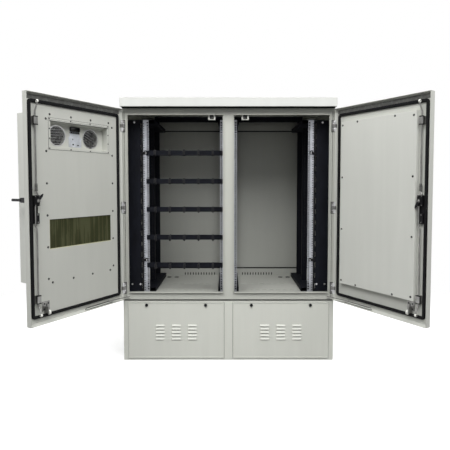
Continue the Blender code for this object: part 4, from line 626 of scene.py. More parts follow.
def makeShell():
    wall = shell["wall"]
    low, high = spanOf("cabinet_body")
    outer = spanOf("rear_cover")[1].y - shell["rebate"]

    def within(point):  # 1 on the faces that look into the cabinet, which take the darker coat painted as shade
        clear = [low[i] + wall < point[i] < high[i] - wall for i in (0, 2)]
        return int(all(clear) and point.y > low.y + wall)

    def inner(point):  # 1 on all of the cover but its outer face
        return int(point.y < outer)

    dress("cabinet_body", ["body", "inside"], shell["bodyEdge"], finishOf=within)
    dress("front_frame", ["frame"], shell["frameEdge"])
    dress("roof_cover", ["roof"], shell["roofEdge"])
    dress("rear_cover", ["body", "inside"], shell["rearEdge"], finishOf=inner)
    dress("plinth_frame", ["plinth"], shell["plinthEdge"])
    for side in sides:
        dress("plinth_cover_" + side, ["plinth"], shell["plinthEdge"] / 2)


strips = {
    # black strips that paint the shadow gaps under the roof, over the plinth, beside the hinges and round the
    # plinth covers
    "roofShadowStrip": ((-0.646, -0.3262, 1.5565), (0.646, -0.3224, 1.5705)),
    "plinthShadowStrip": ((-0.646, -0.3128, 0.3762), (0.646, -0.3096, 0.3812)),
    "sideShadowStrip": ((0.6312, -0.3238, 0.396), (0.6335, -0.3226, 1.538)),
    "coverShadowLine": 0.0013, "coverShadowLineY": (-0.0016, 0.0004), "hem": 0.0045, "hemY": (-0.0044, -0.0012),
}


def makeShellTrim():  # black strips painting the shadow gaps under the roof, over the plinth, beside the hinges and round the plinth covers, and the plinth covers' folded hems
    foam = bmesh.new()
    hems = bmesh.new()
    for key in ("roofShadowStrip", "plinthShadowStrip"):
        addBlock(foam, *strips[key], 0.001, 2)
    for way in sides.values():
        addBlock(foam, *mirrored(way, *strips["sideShadowStrip"]), 0.0004)
    face = spanOf("plinth_frame")[0].y
    hem = strips["hem"]
    shadowLineY, hemY = ([face + step for step in strips[key]] for key in ("coverShadowLineY", "hemY"))
    for side in sides:
        low, high = (corner.xz for corner in spanOf("plinth_cover_" + side))
        addBorder(foam, low, high, *shadowLineY, strips["coverShadowLine"], 0.0005)
        low, high = [value + hem for value in low], [value - hem for value in high]
        addBorder(hems, low, high, *hemY, hem, 0.0016, 3)
    addPiece("shell_shadow_strips", foam, ["foam"])
    addPiece("plinth_cover_hems", hems, ["plinth"], weighted=True)


rearSeal = {"inner": ((-0.5935, 0.4695), (0.5935, 1.4855)), "wide": 0.0065, "deep": 0.0165, "gap": 0.0004}


def makeRearSeal():  # black foam between the body's rear frame and its cover, whose edge round the rear opening also paints the shadow of the gap there
    near = spanOf("rear_cover")[0].y + rearSeal["gap"]
    bm = bmesh.new()
    addBorder(bm, *rearSeal["inner"], near, near + rearSeal["deep"], rearSeal["wide"], 0.0015, 2)
    addPiece("rear_cover_seal", bm, ["foam"])


quarterTurn = {
    "radius": 0.0098, "core": 0.0066, "rise": 0.0036, "lip": 0.0012, "wing": 0.0009,
    "boss": 0.0046, "offset": 0.183, "z": 0.347,
    "rearIn": 0.1, "rearZ": (0.463, 0.9775, 1.492), "rearSunk": 0.003,
}


def addQuarterTurn(bm, centre, direction):  # a plated bezel round a dark slotted core
    radius, core, rise, lip, wing = (quarterTurn[key] for key in ("radius", "core", "rise", "lip", "wing"))
    spot = facing(direction, centre)
    bezel = [(radius, -lip), (radius, rise - lip), (radius - lip, rise), (core, rise), (core, -lip)]
    addTurned(bm, bezel, spot)
    addTurned(bm, section(core, -lip, rise * 0.45), spot, index=1)
    key = bmesh.new()
    addBlock(key, (-core * 0.72, -wing, 0), (core * 0.72, wing, rise * 0.8), 0.0004)
    joinPart(bm, key, 1, spot)


def makeQuarterTurns():
    face = spanOf("plinth_frame")[0].y - quarterTurn["boss"]
    for side in sides:
        low, high = spanOf("plinth_cover_" + side)
        bm = bmesh.new()
        for aside in (-quarterTurn["offset"], quarterTurn["offset"]):
            addQuarterTurn(bm, ((low.x + high.x) / 2 + aside, face, quarterTurn["z"]), inward)
        addPiece(f"plinth_{side}_quarter_turns", bm, ["lever", "black"])
    low, high = spanOf("rear_cover")
    bm = bmesh.new()
    for x in (low.x + quarterTurn["rearIn"], high.x - quarterTurn["rearIn"]):
        for z in quarterTurn["rearZ"]:
            addQuarterTurn(bm, (x, high.y - quarterTurn["rearSunk"], z), outward)
    addPiece("rear_cover_quarter_turns", bm, ["plate", "black"])


floorFittings = {
    "holes": (0.382, 0.437), "y": 0.22, "radius": 0.014, "thick": 0.0032, "sunk": 0.0003,
    "screenX": (0.094, 0.336), "screenY": (0.2906, 0.2936), "screenRise": (0.001, 0.026),
}


def makeGrommets():  # rubber edging round the cable holes in the floor
    floorTop = spanOf("left_rack_frame")[0].z - floorFittings["sunk"]
    outer, thick = floorFittings["radius"], floorFittings["thick"]
    half = thick / 2
    profile = [(outer - thick, 0), (outer - half, half), (outer + half, half), (outer + thick, 0)]
    profile.append((outer - thick, -0.0001))
    bm = bmesh.new()
    for way in sides.values():
        for x in floorFittings["holes"]:
            addTurned(bm, profile, Matrix.Translation((way * x, floorFittings["y"], floorTop)), ring=True)
    addPiece("floor_grommets", bm, ["rubber"])


def makeSlotScreens():  # dark foam filters behind the slots low in the rear wall
    floorTop = spanOf("left_rack_frame")[0].z
    rise = [floorTop + up for up in floorFittings["screenRise"]]
    bm = bmesh.new()
    for way in sides.values():
        box = zip(floorFittings["screenX"], floorFittings["screenY"], rise)
        addBlock(bm, *mirrored(way, *box), 0.001)
    addPiece("rear_slot_screens", bm, ["foam"])


# 19-inch racks

rack = {"unit": 0.04445, "holeLines": (-0.5103, -0.0452), "edge": 0.0006}


def makeRackSteel(side):
    dress(side + "_rack_frame", ["rack"], rack["edge"])
    dress(side + "_cable_panel", ["rack"], rack["edge"])
    keep(side + "_bay_inner_rail", "rail")
    keep(side + "_bay_outer_rail", "rail")


comb = {"reach": 0.0115, "deep": 0.0035, "tall": 0.031, "corner": 0.0035, "gap": 0.0004, "spine": 0.0015}


def makeCableFingers(side):  # a comb of clips down the outer edge of each bay
    way = sides[side]
    low, high = spanOf(side + "_cable_panel")
    edge = low.x if way > 0 else high.x
    near = spanOf(side + "_bay_outer_rail")[0].y - comb["gap"] - comb["deep"]
    reach = (abs(edge) - 0.0006, abs(edge) + comb["reach"])
    bm = bmesh.new()
    z = low.z + rack["unit"] / 2
    while z < high.z:
        ends = zip(reach, (near, near + comb["deep"]), (z - comb["tall"] / 2, z + comb["tall"] / 2))
        addPad(bm, *mirrored(way, *ends), comb["corner"], 0.0006)
        z += rack["unit"]
    start = (edge - comb["spine"], near + 0.001, low.z + 0.004)
    addBlock(bm, start, (edge + comb["spine"], near + 0.003, high.z - 0.004), 0.0004)
    addPiece(side + "_cable_comb", bm, ["black"])


cableRing = {
    "z": (1.293, 0.615), "x": 0.5293, "wide": 0.036, "tall": 0.03, "deep": 0.032,
    "wire": 0.0022, "bend": 0.006, "plate": 0.0018, "plateTall": 0.018, "stand": 0.0042, "screw": 0.0042,
    "loop": ((0.8, 0, -1), (0.8, 0.6, -1), (0.2, 1, 0), (-0.6, 0.7, 1), (-0.8, 0.125, 0.7)),
}


def makeCableRings(side):  # a bent wire ring on its plate, twice down each outer rail
    way = sides[side]
    half, tall, deep = cableRing["wide"] / 2, cableRing["tall"] / 2, cableRing["deep"]
    face = spanOf(side + "_bay_outer_rail")[0].y - cableRing["stand"]
    middle = way * cableRing["x"]
    bm = bmesh.new()
    for z in cableRing["z"]:
        plateFace = face + cableRing["plate"]
        plate = boxAt(middle, z, cableRing["wide"], cableRing["plateTall"], face, plateFace)
        addPad(bm, *plate, 0.003, 0.0004)
        loop = [(middle + way * half * a, face - deep * b, z + tall * c) for a, b, c in cableRing["loop"]]
        addBentRod(bm, loop, cableRing["wire"], cableRing["bend"])
        addRod(bm, loop[0], (loop[0][0], face, z), cableRing["wire"], 10)
        addScrew(bm, (middle - way * half * 0.5, face, z), cableRing["screw"], index=1)
    addPiece(side + "_cable_rings", bm, ["black", "screw"])


manager = {
    "names": [f"cable_manager_{k}" for k in range(1, 6)], "barDepth": 0.0025, "face": 0.0018,
    "screwRise": 0.019, "screwSpread": 0.0079, "screw": 0.0046, "washer": (0.0058, 0.0006),
    "clipX": [-0.27775 + step * 0.09 for step in range(-2, 3)], "clipWide": 0.015,
    "clipY": (0.0003, 0.0055), "clipIn": 0.006,
}


def addBolt(bm, centre, radius, washer, twist, under=0):  # a pan head on its washer (radius, thickness)
    addTurned(bm, section(washer[0], 0, washer[1]), facing(inward, centre), 16, index=under)
    addScrew(bm, (centre[0], centre[1] - washer[1], centre[2]), radius, twist)


def makeManagers():
    rail = spanOf("left_bay_outer_rail")[0].y
    bar, plate = rail - manager["barDepth"], rail - manager["face"]
    bm = bmesh.new()
    for name in manager["names"]:
        dress(name, ["rack", "black"], 0.0009, 2, finishOf=lambda point: int(point.y < bar))
        middle = spanOf(name)[0].z + manager["screwRise"]
        for x in rack["holeLines"]:
            for z in (middle - manager["screwSpread"], middle + manager["screwSpread"]):
                addBolt(bm, (x, plate, z), manager["screw"], manager["washer"], x * 40 + z * 9)
    addPiece("cable_manager_screws", bm, ["rack"])


def makeManagerClips():  # a soft black sleeve on the front of each of the managers' rings
    half, (near, far) = manager["clipWide"] / 2, manager["clipY"]
    bm = bmesh.new()
    for name in manager["names"]:
        low, high = spanOf(name)
        for x in manager["clipX"]:
            start, end = low.z + manager["clipIn"], high.z - manager["clipIn"]
            addPad(bm, (x - half, low.y + near, start), (x + half, low.y + far, end), 0.003, 0.0008)
    addPiece("cable_manager_clips", bm, ["lever"])


post = {
    "x": (0.506, 0.539), "y": (0.004, 0.04), "wall": 0.0018, "lip": 0.01, "z": (0.412, 1.499),
    "slotWide": 0.0088, "slotTall": 0.009, "slotY": (-0.0004, 0.001),
}


def makeMidPosts(side):  # a folded channel half-way down each rack's outer side, with a slotted web
    way = sides[side]
    (near, far), (front, back), (low, high), wall = (post[key] for key in ("x", "y", "z", "wall"))
    folds = [
        (near, front, far, front + wall), (near, front, near + wall, back), (far - wall, front, far, back),
        (near, back - wall, near + post["lip"], back),
    ]
    slotY = [front + step for step in post["slotY"]]
    bm = bmesh.new()
    for x, y, farX, farY in folds:
        addBlock(bm, *mirrored(way, (x, y, low), (farX, farY, high)), 0.0006)
    addPiece(side + "_rack_mid_post", bm, ["rack"])
    bm = bmesh.new()
    z = low + rack["unit"] / 3
    while z < high - 0.01:
        slot = boxAt(way * (near + far) / 2, z, post["slotWide"], post["slotTall"], *slotY)
        addPad(bm, *slot, 0.002, 0.0002)
        z += rack["unit"] / 2
    addPiece(side + "_rack_post_plugs", bm, ["black"])


railHoleShade = {"x": 0.533, "wide": 0.006, "first": 0.0045, "steps": (0.00635, 0.022225, 0.0381)}


def makeRailHoleShades(side):  # black pads painting the shade of a second column of square holes down each outer rail
    way = sides[side]
    wide = railHoleShade["wide"]
    low, high = spanOf(side + "_bay_outer_rail")
    bm = bmesh.new()
    z = low.z + railHoleShade["first"]
    while z < high.z - rack["unit"]:
        for step in railHoleShade["steps"]:
            plug = boxAt(way * railHoleShade["x"], z + step, wide, wide, low.y - 0.0005, low.y + 0.001)
            addPad(bm, *plug, 0.001, 0.0002)
        z += rack["unit"]
    addPiece(side + "_rail_hole_shades", bm, ["black"])


panelScrew = {
    "radius": 0.0042, "washer": (0.0062, 0.0007), "deep": 0.03, "top": (0.004, 0.014), "low": (0.026, 0.046),
}


def makePanelScrews(side):
    way = sides[side]
    low, high = spanOf(side + "_cable_panel")
    middle, face = (low.x + high.x) / 2, high.y - panelScrew["deep"]
    (aside, down), (apart, up) = panelScrew["top"], panelScrew["low"]
    spots = [(way * aside, high.z - down), (-apart, low.z + up), (apart, low.z + up)]
    bm = bmesh.new()
    for step, z in spots:
        addBolt(bm, (middle + step, face, z), panelScrew["radius"], panelScrew["washer"], z * 7)
    addPiece(side + "_cable_panel_screws", bm, ["screw"])


switch = {
    "x": 0.102, "z": 1.5, "wall": 0.0022, "block": 0.0105, "thick": 0.002,
    "lips": (  # from, to, foot
        (-0.0125, -0.0062, 0.0045), (0.0062, 0.0125, 0.0045), (-0.007, 0.007, 0.018),
    ),
    "lipTop": 0.034, "collar": (0.0062, -0.001, 0.0025, 0.0036),
    "screwX": 0.014, "screwDown": 0.012, "screw": 0.0032,
}


def makeSwitches(side):  # a white bracket open at its top, with the black contact block in it
    way = sides[side]
    z, wall, block = switch["z"], switch["wall"], switch["block"]
    name = "door_switch_" + side
    low, high = spanOf(name)
    x = way * switch["x"]
    top = z + (z - low.z)
    bm = bmesh.new()
    addPad(bm, (low.x, low.y + 0.0008, low.z), (high.x, low.y + wall, high.z), 0.003, 0.0005)
    for start, end, foot in switch["lips"]:
        face = (x + end, low.y + switch["thick"], low.z + switch["lipTop"])
        addPad(bm, (x + start, low.y, low.z + foot), face, 0.001, 0.0004, 1)
    for edge in (low.x, high.x - wall):
        addPad(bm, (edge, low.y, low.z), (edge + wall, high.y, top), 0.003, 0.0005, axis=0)
    start = (low.x + wall, low.y + wall, low.z)
    addBlock(bm, start, (high.x - wall, high.y - 0.004, low.z + wall), 0.0005)
    face = (x + block, high.y, top - 0.002)
    addPad(bm, (x - block, low.y + wall, low.z + wall), face, 0.002, 0.0008, 1)
    addTurned(bm, section(*switch["collar"]), facing(inward, (x, low.y, z)), 20, True, 1)
    for across in (-switch["screwX"], switch["screwX"]):
        addScrew(bm, (x + across, low.y, high.z - switch["screwDown"]), switch["screw"], index=2)
    addPiece(name + "_made", bm, ["nylon", "black", "screw"], replaced=name)
    keep("switch_plunger_" + side, "black")


def makeHinges(side):  # plated leaves and knuckles with bright pins and screws, on a black pad whose rim paints the shadow round each leaf
    way = sides[side]
    y, reach = hinge["y"], hinge["knuckle"]
    for k in (1, 2, 3):
        name = f"{side}_hinge_{k}"
        low, high = spanOf(name)
        z = (low.z + high.z) / 2
        axis = way * hinge["x"]
        inner = low.x if way > 0 else high.x
        face = high.y - hinge["leaf"]
        bm = bmesh.new()
        near, far = sorted((axis + way * reach, inner))
        addPad(bm, (near, face, low.z), (far, high.y, high.z), 0.0025, 0.0004)
        addRod(bm, (axis, y, low.z), (axis, y, high.z), hinge["pin"], 20, index=1)
        for start, end in ((low.z, z - hinge["knuckleGap"]), (z + hinge["knuckleGap"], high.z)):
            addRod(bm, (axis, y, start), (axis, y, end), reach, 24, 0.0005, index=1)
            wrap = (hinge["x"] - 0.0028, y, start), (hinge["x"] + reach, high.y - 0.001, end)
            addBlock(bm, *mirrored(way, *wrap), 0.0005)
        # a black pad a little larger than the leaf: painted shadow round its edges
        start = (near - 0.003, high.y - 0.0008, low.z - 0.0035)
        addPad(bm, start, (far + 0.0016, high.y + 0.0002, high.z + 0.0035), 0.003, 0.0002, 2)
        for step in (-1, 1):
            spot = (inner + way * hinge["screwIn"], face, z + step * hinge["screwSpread"])
            addScrew(bm, spot, hinge["screwRadius"], twist=step + k, index=1)
        addPiece(name + "_made", bm, ["zinc", "screw", "rubber"], replaced=name)


rivet = {"x": 0.617, "y": -0.317, "dome": [(0, 0), (0.0042, 0), (0.00357, 0.0008), (0, 0.0014)]}


def makeStays(side):
    way = sides[side]
    dress(side + "_stay", ["zinc"], 0.0005)
    bm = bmesh.new()
    top = spanOf(side + "_stay")[1].z + 0.0001
    addTurned(bm, rivet["dome"], Matrix.Translation((way * rivet["x"], rivet["y"], top)), 20)
    addPiece(side + "_stay_rivet", bm, ["screw"])


def makeBoth(*makers):  # each of them on the left, then on the right
    for make in makers:
        for side in sides:
            make(side)


for make in (makeShell, makeShellTrim, makeRearSeal, makeQuarterTurns, makeGrommets, makeSlotScreens):
    make()
makeBoth(makeRackSteel, makeCableFingers, makeCableRings)
makeManagers()
makeManagerClips()
makeBoth(makeMidPosts, makeRailHoleShades, makePanelScrews, makeSwitches, makeHinges, makeStays)
print("cabinet done")

# Doors, each piece made in the door's own frame

gear = {
    "u": 0.596, "z": 1.015, "rodT": 0.005, "rodRadius": 0.00388, "rodStart": 0.01, "rodOffset": 0.008,
    "rodBend": 0.0045, "bends": {1: (0.031, 0.045), -1: (0.125, 0.143)},
    "crankStart": 0.047, "crankEnd": 0.012, "rollerT": -0.0145, "rollerRadius": 0.008, "rollerWidth": 0.009,
    "guideZ": (0.515, 1.414), "guideHalf": 0.011, "guideHeight": 0.042, "couplerZ": 1.082,
}
leaf = {
    "landT": 0.019,  # the inner panel's face
    "broad": 0.2,  # the fittings' faces are shorter than this
    "hingeZ": (0.455, 0.9525, 1.45), "cutHalf": 0.0107, "knuckle": 0.0062, "knuckleU": 0.0132,
    "tabU": 0.0128, "tabT": (0.0052, 0.0115), "trackU": (0.114, 0.288), "trackZ": (0.393, 0.399),
    "edge": 0.001,
}


def doorFinish(point):  # 1 where a plated fitting is welded to the leaf
    u, t, z = point
    raised = t < leaf["landT"] - 0.0005
    beside = any(abs(z - middle) < gear["guideHeight"] / 2 + 0.001 for middle in gear["guideZ"])
    guide = beside and abs(u - gear["u"]) < gear["guideHalf"] + 0.001 and raised
    track = leaf["trackU"][0] < u < leaf["trackU"][1] and leaf["trackZ"][0] < z < leaf["trackZ"][1] and raised
    knuckle = u < leaf["knuckleU"] and math.hypot(min(u, 0), t - hinge["rimDepth"]) < leaf["knuckle"]
    tab = u < leaf["tabU"] and leaf["tabT"][0] < t < leaf["tabT"][1]
    atHinge = any(abs(z - middle) < leaf["cutHalf"] for middle in leaf["hingeZ"])
    return int(guide or track or atHinge and (knuckle or tab))


def makeLeaves(side):
    dress(side + "_door", ["door", "zinc"], leaf["edge"], 1, doorFinish, leaf["broad"], side)


screwRows = {
    "left": {"u": (0.07, 0.524), "z": (0.606, 1.4325), "count": 6, "rowU": (0.097, 0.2315, 0.366, 0.5),
             "rowZ": (0.5835, 1.4575), "faceT": 0.019},
    "right": {"u": (0.0745, 0.5568), "z": (0.5215, 1.4445), "count": 4, "rowU": (0.187, 0.443),
              "rowZ": (0.511, 1.4545), "faceT": -0.005},
    "washer": [(0, 0), (0.006, 0), (0.0056, 0.0006), (0, 0.0006)], "sunk": 0.0004, "radius": 0.0048,
}


def makePanelFixings(side):  # blackened pan heads with cross recesses, each on its washer
    rows = screwRows[side]
    low, high = rows["z"]
    steps = [low + (high - low) * k / (rows["count"] - 1) for k in range(rows["count"])]
    spots = [(u, z) for u in rows["u"] for z in steps]
    spots += [(u, z) for u in rows["rowU"] for z in rows["rowZ"]]
    bm = bmesh.new()
    for u, z in spots:
        addTurned(bm, screwRows["washer"], facing(inward, (u, rows["faceT"], z)), 20)
        addScrew(bm, (u, rows["faceT"] - screwRows["sunk"], z), screwRows["radius"], u * 31 + z * 17)
    addPiece(side + "_panel_screws", bm, ["lever"], side)


seal = {"trim": 0.004, "wide": 0.016, "corner": 0.017, "bulb": 0.004}


def makeGaskets(side):  # a rounded bulb section, turned round small corners
    name = side + "_gasket"
    low, high = spanOf(name, side)
    inset = Vector((seal["trim"], 0, seal["trim"]))
    bm = bmesh.new()
    addBlock(bm, low + inset, high - inset)
    bevelEdges(bm, edgesAlong(bm, 1), seal["corner"], 6)
    bm.normal_update()
    ends = [face for face in bm.faces if abs(face.normal.y) > 0.9]
    bmesh.ops.inset_region(bm, faces=ends, thickness=seal["wide"], use_even_offset=True)
    bmesh.ops.delete(bm, geom=ends, context="FACES")
    bmesh.ops.bridge_loops(bm, edges=[edge for edge in bm.edges if edge.is_boundary])
    bmesh.ops.recalc_face_normals(bm, faces=bm.faces)
    bm.normal_update()
    front = [edge for edge in bm.edges if all(abs(vert.co.y - low.y) < small for vert in edge.verts)]
    ridge = [edge for edge in front if edge.calc_face_angle(0) > math.radians(30)]
    bevelEdges(bm, ridge, seal["bulb"], 3)
    addPiece(side + "_bulb_seal", bm, ["rubber"], side, name, smooth=50)


leafTrim = {
    "strip": ((0.006, 0.0168, 1.5205), (0.638, 0.0186, 1.5485)),
    "bar": ((0.098, 0.001, 0.3916), (0.3, 0.003, 0.3978)),
    "under": ((0.098, 0.0018, 0.3894), (0.3, 0.003, 0.3916)),
    "end": ((0.3, 0.0014, 0.3906), (0.303, 0.003, 0.3978)),
}


def makeLeafTrim(side):  # a grey strip over the gasket painting the shade under the top flange, and the stay track's bar with black strips painting its shadow below and past its end
    bm = bmesh.new()
    addBlock(bm, *leafTrim["strip"], 0.0008, 2)
    addPiece(side + "_weather_strip", bm, ["topShadeStrip"], side, weighted=True)
    bm = bmesh.new()
    addBlock(bm, *leafTrim["bar"], 0.0009, 2)
    # black strips under the bar and past its end: painted shadow
    addBlock(bm, *leafTrim["under"], 0.0004, 1, 1)
    addBlock(bm, *leafTrim["end"], 0.0006, 1, 1)
    addPiece(side + "_track_bar", bm, ["housing", "lever"], side)


lockCase = {
    "rivetU": (-0.0105, 0.0105), "rivetZ": (-0.0225, 0.0225),
    "rivet": [(0, 0), (0.0024, 0), (0.002, 0.0009), (0, 0.0012)],
    "collar": [(0.0068, 0), (0.0098, 0), (0.0092, 0.0014), (0.0068, 0.0014)],
    "ribZ": (-0.0165, 0.0165), "ribWide": 0.023, "ribTall": 0.0024, "ribT": (-0.0007, 0.0005),
    "boltZ": (0.906, 0.944), "boltT": 0.0047, "boltU": 0.006, "bolt": 0.0034, "washer": (0.0058, 0.0008),
}


def makeLockCases(side):  # gearbox with rivets and ribs over a bolted block
    way = sides[side]
    u, z = gear["u"], gear["z"]
    face = spanOf(side + "_lock_case", side)[0].y
    dress(side + "_lock_case", ["black"], 0.001, 2, smooth=40)
    bm = bmesh.new()
    for across in lockCase["rivetU"]:
        for up in lockCase["rivetZ"]:
            addTurned(bm, lockCase["rivet"], facing(inward, (u + across, face, z + up)), 14)
    addTurned(bm, lockCase["collar"], facing(inward, (u, face, z)), 24, True, 1)
    near, far = (face + step for step in lockCase["ribT"])
    for up in lockCase["ribZ"]:
        addBlock(bm, *boxAt(u, z + up, lockCase["ribWide"], lockCase["ribTall"], near, far), 0.0003, 1, 1)
    for boltZ in lockCase["boltZ"]:
        spot = (u + way * lockCase["boltU"], lockCase["boltT"], boltZ)
        addBolt(bm, spot, lockCase["bolt"], lockCase["washer"], boltZ * 9, 1)
    addPiece(side + "_lock_fixings", bm, ["zinc", "black"], side)


roller = {"hole": 0.0026, "edge": 0.0012, "pin": 0.0025, "head": 0.0034, "headThick": 0.0009}


def addRoller(bm, u, t, z):  # a wheel on its pin, axis along u
    radius, half = gear["rollerRadius"], gear["rollerWidth"] / 2
    hole, edge, pin, head = (roller[key] for key in ("hole", "edge", "pin", "head"))
    spot = facing((1, 0, 0), (u, t, z))
    wheel = symmetrical([(hole, half), (radius - edge, half), (radius, half - edge)])
    addTurned(bm, wheel, spot, 28, True, 1)
    reach = half + roller["headThick"]
    addTurned(bm, symmetrical([(0, reach), (head, reach), (head, half), (pin, half)]), spot, 20)


coupler = {
    "sleeve": symmetrical([(0, 0.018), (0.0054, 0.018), (0.006, 0.0172)]),
    "ring": [(0.0056, -0.0012), (0.007, -0.0012), (0.0075, 0), (0.007, 0.0012), (0.0056, 0.0012)],
    "ringZ": [(k - 2.5) * 0.0064 for k in range(6)],
}


def makeRods(side):
    way = sides[side]
    u, t, crankT = gear["u"], gear["rodT"], gear["rollerT"]
    for title, up in (("upper", 1), ("lower", -1)):
        name = f"{side}_{title}_rod"
        low, high = spanOf(name, side)
        end = (high.z if up > 0 else low.z) - up * gear["rollerRadius"]
        inner = u + way * up * gear["rodOffset"]
        near, far = gear["bends"][up]
        path = [(inner, t, gear["z"] + up * gear["rodStart"]), (inner, t, gear["z"] + up * near)]
        path += [(u, t, gear["z"] + up * far), (u, t, end - up * gear["crankStart"])]
        path += [(u, crankT, end - up * gear["crankEnd"]), (u, crankT, end)]
        bm = bmesh.new()
        addBentRod(bm, path, gear["rodRadius"], gear["rodBend"])
        addRoller(bm, u, crankT, end)
        if up > 0:
            spot = Matrix.Translation((u, t, gear["couplerZ"]))
            addTurned(bm, coupler["sleeve"], spot, 6)
            for rise in coupler["ringZ"]:
                addTurned(bm, coupler["ring"], Matrix.Translation((0, 0, rise)) @ spot, 20, True, 2)
        addPiece(name + "_made", bm, ["zinc", "nylon", "black"], side, name)


guide = {"bushHalf": 0.0119, "bushT": (-0.0028, 0.003), "bushOver": 0.0012, "bushIn": 0.004,
         "footOver": 0.0026, "footIn": 0.0004, "footTall": 0.038, "footThick": 0.0026}


def makeGuides(side):  # what the welded guide saddles carry: dark end bushes and plated feet
    u, face, land = gear["u"], leaf["landT"] - guide["footThick"], leaf["landT"]
    bm = bmesh.new()
    for z in gear["guideZ"]:
        for up in (-1, 1):
            edge = z + up * gear["guideHeight"] / 2
            low, high = sorted((edge + up * guide["bushOver"], edge - up * guide["bushIn"]))
            start, end = zip((u - guide["bushHalf"], u + guide["bushHalf"]), guide["bushT"], (low, high))
            addPad(bm, start, end, 0.0015, 0.0004, 1, axis=2)
        for across in (-1, 1):
            edge = u + across * gear["guideHalf"]
            low, high = sorted((edge - across * guide["footIn"], edge + across * guide["footOver"]))
            foot = boxAt((low + high) / 2, z, high - low, guide["footTall"], face, land)
            addPad(bm, *foot, 0.001, 0.0004)
    addPiece(side + "_rod_guides", bm, ["zinc", "black"], side)


cam = {
    "nut": [(0, 0), (0.0052, 0), (0.0058, 0.0006), (0.0058, 0.003), (0.005, 0.0038), (0, 0.0038)],
    "stud": [(0, 0.0038), (0.0028, 0.0038), (0.0026, 0.005), (0, 0.0052)],
    "washer": (0.0078, -0.0001, 0.0007),
}


def makeCams(side):
    name = side + "_cam"
    dress(name, ["lever"], 0.0009, 2, smooth=40)
    spot = facing(inward, (gear["u"], spanOf(name, side)[0].y, gear["z"]))
    bm = bmesh.new()
    addTurned(bm, cam["nut"], spot, 6)
    addTurned(bm, cam["stud"], spot, 16)
    addTurned(bm, section(*cam["washer"]), spot, 20)
    addPiece(side + "_cam_nut", bm, ["zinc"], side, body=bodyOf[name])


handle = {"edge": 0.0016, "screwUp": 0.016, "screwDown": 0.014, "screw": 0.004}


def makeHandles(side):
    for name in (side + "_handle", side + "_handle_base"):
        dress(name, ["lever"], handle["edge"], 3, minAngle=30, smooth=48)
    low, high = spanOf(side + "_handle_base", side)
    bm = bmesh.new()
    for z in (low.z + handle["screwUp"], high.z - handle["screwDown"]):
        addScrew(bm, ((low.x + high.x) / 2, high.y, z), handle["screw"], z * 5, direction=outward)
    addPiece(side + "_base_screws", bm, ["screw"], side)


lifter = {
    "u": 0.546, "t": -0.01, "wheel": 0.012, "edge": 0.0012, "groove": 0.001, "plate": 0.004,
    "screwU": (-0.013, 0.0105), "screwZ": (0.008, 0.036), "screwFoot": 0.012, "screw": 0.0046,
    "rib": ((-0.008, -0.0016, 0.02), (0.003, 0.001, -0.008)),  # from the bracket's foot and its top
    "core": ((-0.0055, -0.002, 0.024), (0.0005, 0.0, -0.012)),
    "nut": [(0, 0), (0.0042, 0), (0.0046, 0.0005), (0.0046, 0.0022), (0, 0.0026)],
    "nutGap": 0.0016, "nutZ": 0.006,
}


def makeLifters(side):
    u, t, radius, edge, groove = (lifter[key] for key in ("u", "t", "wheel", "edge", "groove"))
    name = side + "_lifter_wheel"
    low, high = spanOf(name, side)
    half = (high.x - low.x) / 2
    profile = [(0.0035, half), (0.006, half), (0.0066, half - groove), (0.0092, half - groove)]
    profile += [(0.0098, half), (radius - edge, half), (radius, half - edge)]
    bm = bmesh.new()
    spot = facing((1, 0, 0), (u, t, (low.z + high.z) / 2))
    addTurned(bm, symmetrical(profile), spot, 36, True)
    addPiece(name + "_made", bm, ["nylon"], side, name)
    name = side + "_lifter_bracket"
    dress(name, ["zinc"], 0.0009)
    low, high = spanOf(name, side)
    face = high.y - lifter["plate"]
    bm = bmesh.new()
    for across in lifter["screwU"]:
        for up in lifter["screwZ"]:
            spot = (u + across, face, low.z + lifter["screwFoot"] + up)
            addScrew(bm, spot, lifter["screw"], up * 60, 1)
    for key, corner, soft, index in (("rib", 0.004, 0.001, 0), ("core", 0.0028, 0.0003, 1)):
        start, end = lifter[key]
        start = (u + start[0], face + start[1], low.z + start[2])
        addPad(bm, start, (u + end[0], face + end[1], high.z + end[2]), corner, soft, index)
    centre = (u - half - lifter["nutGap"], t, low.z + lifter["nutZ"])
    addTurned(bm, lifter["nut"], facing((-1, 0, 0), centre), 6)
    addPiece(side + "_lifter_fixings", bm, ["zinc", "lever"], side)


makeBoth(makeLeaves, makePanelFixings, makeGaskets, makeLeafTrim, makeLockCases)
makeBoth(makeRods, makeGuides, makeCams, makeHandles, makeLifters)
dress("right_inner_cover", ["cover"], 0.0012)
print("doors done")

# Air conditioner in the left door

fan = {
    "u": (0.2, 0.427), "z": 1.356, "radius": 0.053, "backT": 0.06, "sheet": 0.0012, "steps": 56,
    "rows": [k - 6 for k in range(13)], "pitch": 0.0082, "slat": 0.001, "slatY": (0.0001, 0.0022),
    "tilts": (math.radians(20), math.radians(7)), "least": 0.006,
    "rim": [(0.0508, -0.001), (0.0508, 0.0016), (0.056, 0.0016), (0.0564, 0)],
}
tray = {
    "corners": ((0.107, 1.287), (0.5005, 1.431)), "tube": (0.058, 0.0008, 0.0272, 0.0545),
    "flange": ((0.098, 1.278), (0.5095, 1.44)), "flangeT": 0.0175, "hoodZ": 1.4275,
    # black lines round the flange and above and below the hood's lip: painted shadow
    "foam": 0.0014, "flangeShadowT": (0.0181, 0.0189),
    "hoodShadowZ": (1.4237, 1.4295), "hoodShadowTall": 0.0016, "hoodShadowT": (0.0163, 0.0177),
    "hoodT": (0.0139, 0.0177), "hoodTall": 0.002, "hoodIn": 0.002,
    "screws": ((0.103, 1.283), (0.5045, 1.435)), "screw": 0.0036,
}


